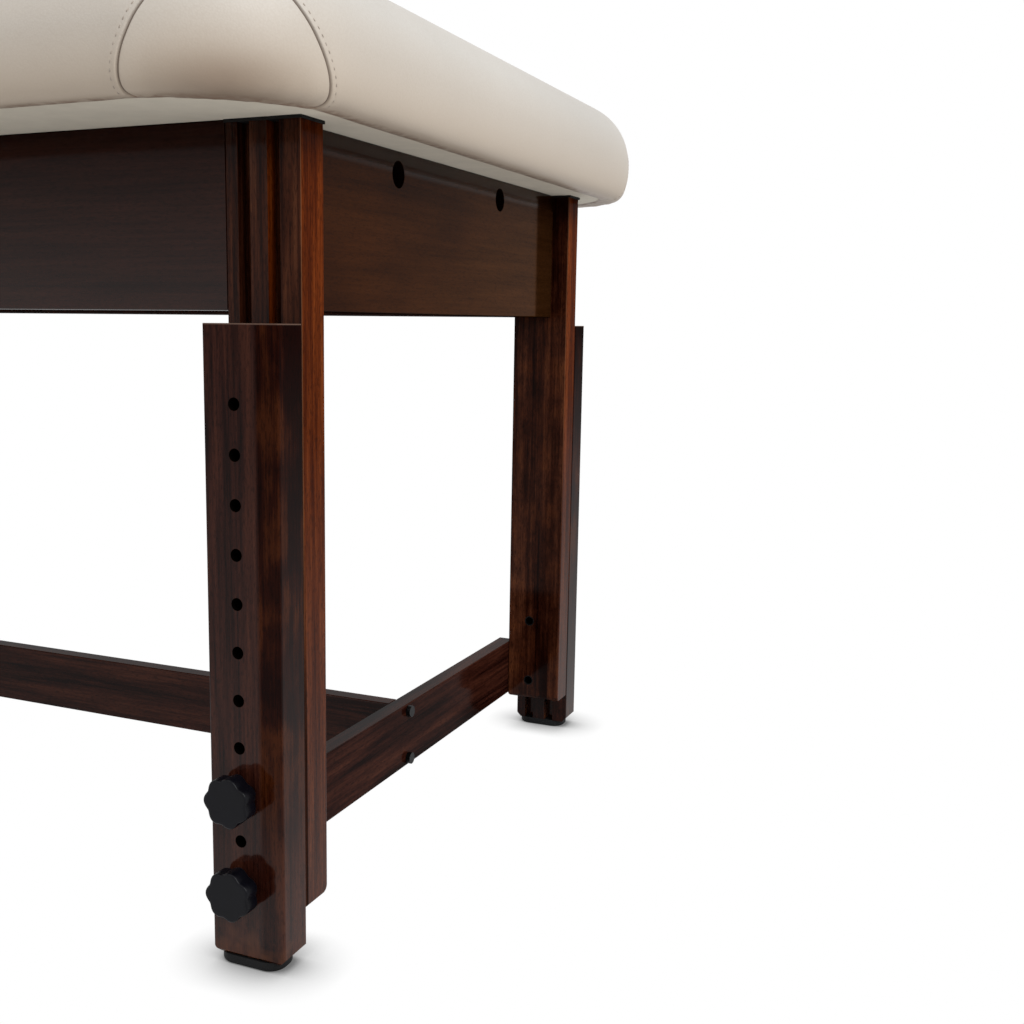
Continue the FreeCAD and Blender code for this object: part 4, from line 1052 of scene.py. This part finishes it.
FLOOR_REACH = 14.0
FLOOR_COLOUR = (0.75, 0.75, 0.75, 1.0)
SHADOW_REACH = 0.10
SHADOW_LIFT = 0.0003
SHADOW_LENGTH = 0.038
SHADOW_CLOSED = 0.35
SHADOW_DEPTH = 0.17
SHADOW_SAMPLES = 32
WORLD_LIGHT = 0.42
LAMPS = (
    ("key", (3.4, -1.3, 2.4), (0.5, 0.0, 0.4), 2.2, 92.0),
    ("front", (-1.0, -2.9, 3.2), (0.2, 0.0, 0.4), 2.4, 34.0),
)
IMAGE_PIXELS = 1024
LENS_PIXELS = 1230.86
CENTRE_PIXELS = 452
SENSOR_WIDTH_MM = 36.0
CAMERA_PLACE = Vector((1.2906, -0.9410, 0.4284))
CAMERA_TURNS = (24.2165, 8.7210, -0.5952)


def flat_square(name, centre, height, reach, material):
    """A level square of the stage."""
    x, y = centre
    mesh = bpy.data.meshes.new(name)
    corners = [(x - reach, y - reach, height), (x + reach, y - reach, height),
               (x + reach, y + reach, height), (x - reach, y + reach, height)]
    mesh.from_pydata(corners, [], [(0, 1, 2, 3)])
    mesh.materials.append(material)
    square = bpy.data.objects.new(name, mesh)
    bpy.context.scene.collection.objects.link(square)
    return square


def seen_directly(tree):
    """1 for rays from the camera, a reflection or a clear surface, otherwise 0."""
    path = add_node(tree, "ShaderNodeLightPath")
    first = maths(tree, "MAXIMUM", path.outputs["Is Camera Ray"], path.outputs["Is Glossy Ray"])
    return maths(tree, "MAXIMUM", first, path.outputs["Is Transmission Ray"])


def floor_material():
    """Pale and matt for the light, and clear to direct sight, so that the white surroundings show."""
    material, tree, shader = new_material("floor_white")
    shader.inputs["Base Color"].default_value = FLOOR_COLOUR
    shader.inputs["Roughness"].default_value = 1.0
    shader.inputs["Specular IOR Level"].default_value = 0.0
    clearing = add_node(tree, "ShaderNodeMixShader")
    tree.links.new(seen_directly(tree), clearing.inputs["Fac"])
    tree.links.new(shader.outputs["BSDF"], clearing.inputs[1])
    tree.links.new(add_node(tree, "ShaderNodeBsdfTransparent").outputs["BSDF"], clearing.inputs[2])
    tree.links.new(clearing.outputs["Shader"], tree.nodes["Material Output"].inputs["Surface"])
    return material


def shadow_material():
    """Darkens what lies behind it where foot and leg close off the light, and is clear from below."""
    material, tree, shader = new_material("floor_shadow")
    tree.nodes.remove(shader)
    closed_in = add_node(tree, "ShaderNodeAmbientOcclusion", Distance=SHADOW_LENGTH)
    closed_in.samples = SHADOW_SAMPLES
    shade = grey(tree, closed_in.outputs["AO"], SHADOW_DEPTH, 1.0, SHADOW_CLOSED, 1.0)
    above = maths(tree, "SUBTRACT", 1.0, add_node(tree, "ShaderNodeNewGeometry").outputs["Backfacing"])
    seen_shade = maths(tree, "POWER", shade, maths(tree, "MULTIPLY", seen_directly(tree), above))
    clear = add_node(tree, "ShaderNodeBsdfTransparent")
    tree.links.new(seen_shade, clear.inputs["Color"])
    tree.links.new(clear.outputs["BSDF"], tree.nodes["Material Output"].inputs["Surface"])
    return material


def make_stage():
    """A pale floor, and a soft contact shadow that goes along with each foot."""
    flat_square("floor", (0.0, 0.0), 0.0, FLOOR_REACH, floor_material())
    material = shadow_material()
    for corner, end, side in CORNERS:
        centre = (end * FOOT_X, side * FOOT_Y)
        shadow = flat_square(f"floor_shadow_{corner}", centre, SHADOW_LIFT, SHADOW_REACH, material)
        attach(shadow, f"extension_{corner}")


def make_world():
    """Even white surroundings: full white where seen, softer as light."""
    world = bpy.data.worlds.new("studio")
    bpy.context.scene.world = world
    world.use_nodes = True
    tree = world.node_tree
    background = tree.nodes["Background"]
    background.inputs["Color"].default_value = (1.0, 1.0, 1.0, 1.0)
    strength = grey(tree, seen_directly(tree), WORLD_LIGHT, 1.0)
    tree.links.new(strength, background.inputs["Strength"])


def add_area(name, place, target, size, power):
    """A soft square lamp aimed at a point."""
    lamp = bpy.data.lights.new(name, "AREA")
    lamp.size = size
    lamp.energy = power
    holder = bpy.data.objects.new(name, lamp)
    holder.location = place
    holder.rotation_euler = (Vector(target) - Vector(place)).to_track_quat("-Z", "Y").to_euler()
    bpy.context.scene.collection.objects.link(holder)


def make_camera():
    """The photograph's viewpoint, from its turn to the left, its tilt down and its roll."""
    yaw, pitch, roll = (math.radians(turn) for turn in CAMERA_TURNS)
    ahead = Vector((-math.sin(yaw), math.cos(yaw), 0.0))
    forward = ahead * math.cos(pitch) - Vector((0.0, 0.0, math.sin(pitch)))
    level = Vector((math.cos(yaw), math.sin(yaw), 0.0))
    down = forward.cross(level)
    right = math.cos(roll) * level + math.sin(roll) * down
    up = math.sin(roll) * level - math.cos(roll) * down
    camera = bpy.data.cameras.new("camera")
    camera.sensor_width = SENSOR_WIDTH_MM
    camera.lens = LENS_PIXELS / IMAGE_PIXELS * SENSOR_WIDTH_MM
    camera.shift_x = (IMAGE_PIXELS / 2 - CENTRE_PIXELS) / IMAGE_PIXELS
    camera.clip_start = 0.02
    holder = bpy.data.objects.new("camera", camera)
    holder.matrix_world = Matrix((
        (right.x, up.x, -forward.x, CAMERA_PLACE.x),
        (right.y, up.y, -forward.y, CAMERA_PLACE.y),
        (right.z, up.z, -forward.z, CAMERA_PLACE.z),
        (0, 0, 0, 1),
    ))
    bpy.context.scene.collection.objects.link(holder)
    bpy.context.scene.camera = holder


def make_light():
    """Soft studio light, stronger from the head end."""
    for lamp in LAMPS:
        add_area(*lamp)


make_camera()
paint_nodes()
rings = pad_rings()
pad = make_pad(rings)
swell(pad, rings)
sew(pad, rings)
make_stitches(pad, rings)
finish_pad(pad)
make_knobs()
make_stage()
make_world()
make_light()
bpy.context.scene.view_settings.view_transform = "Standard"
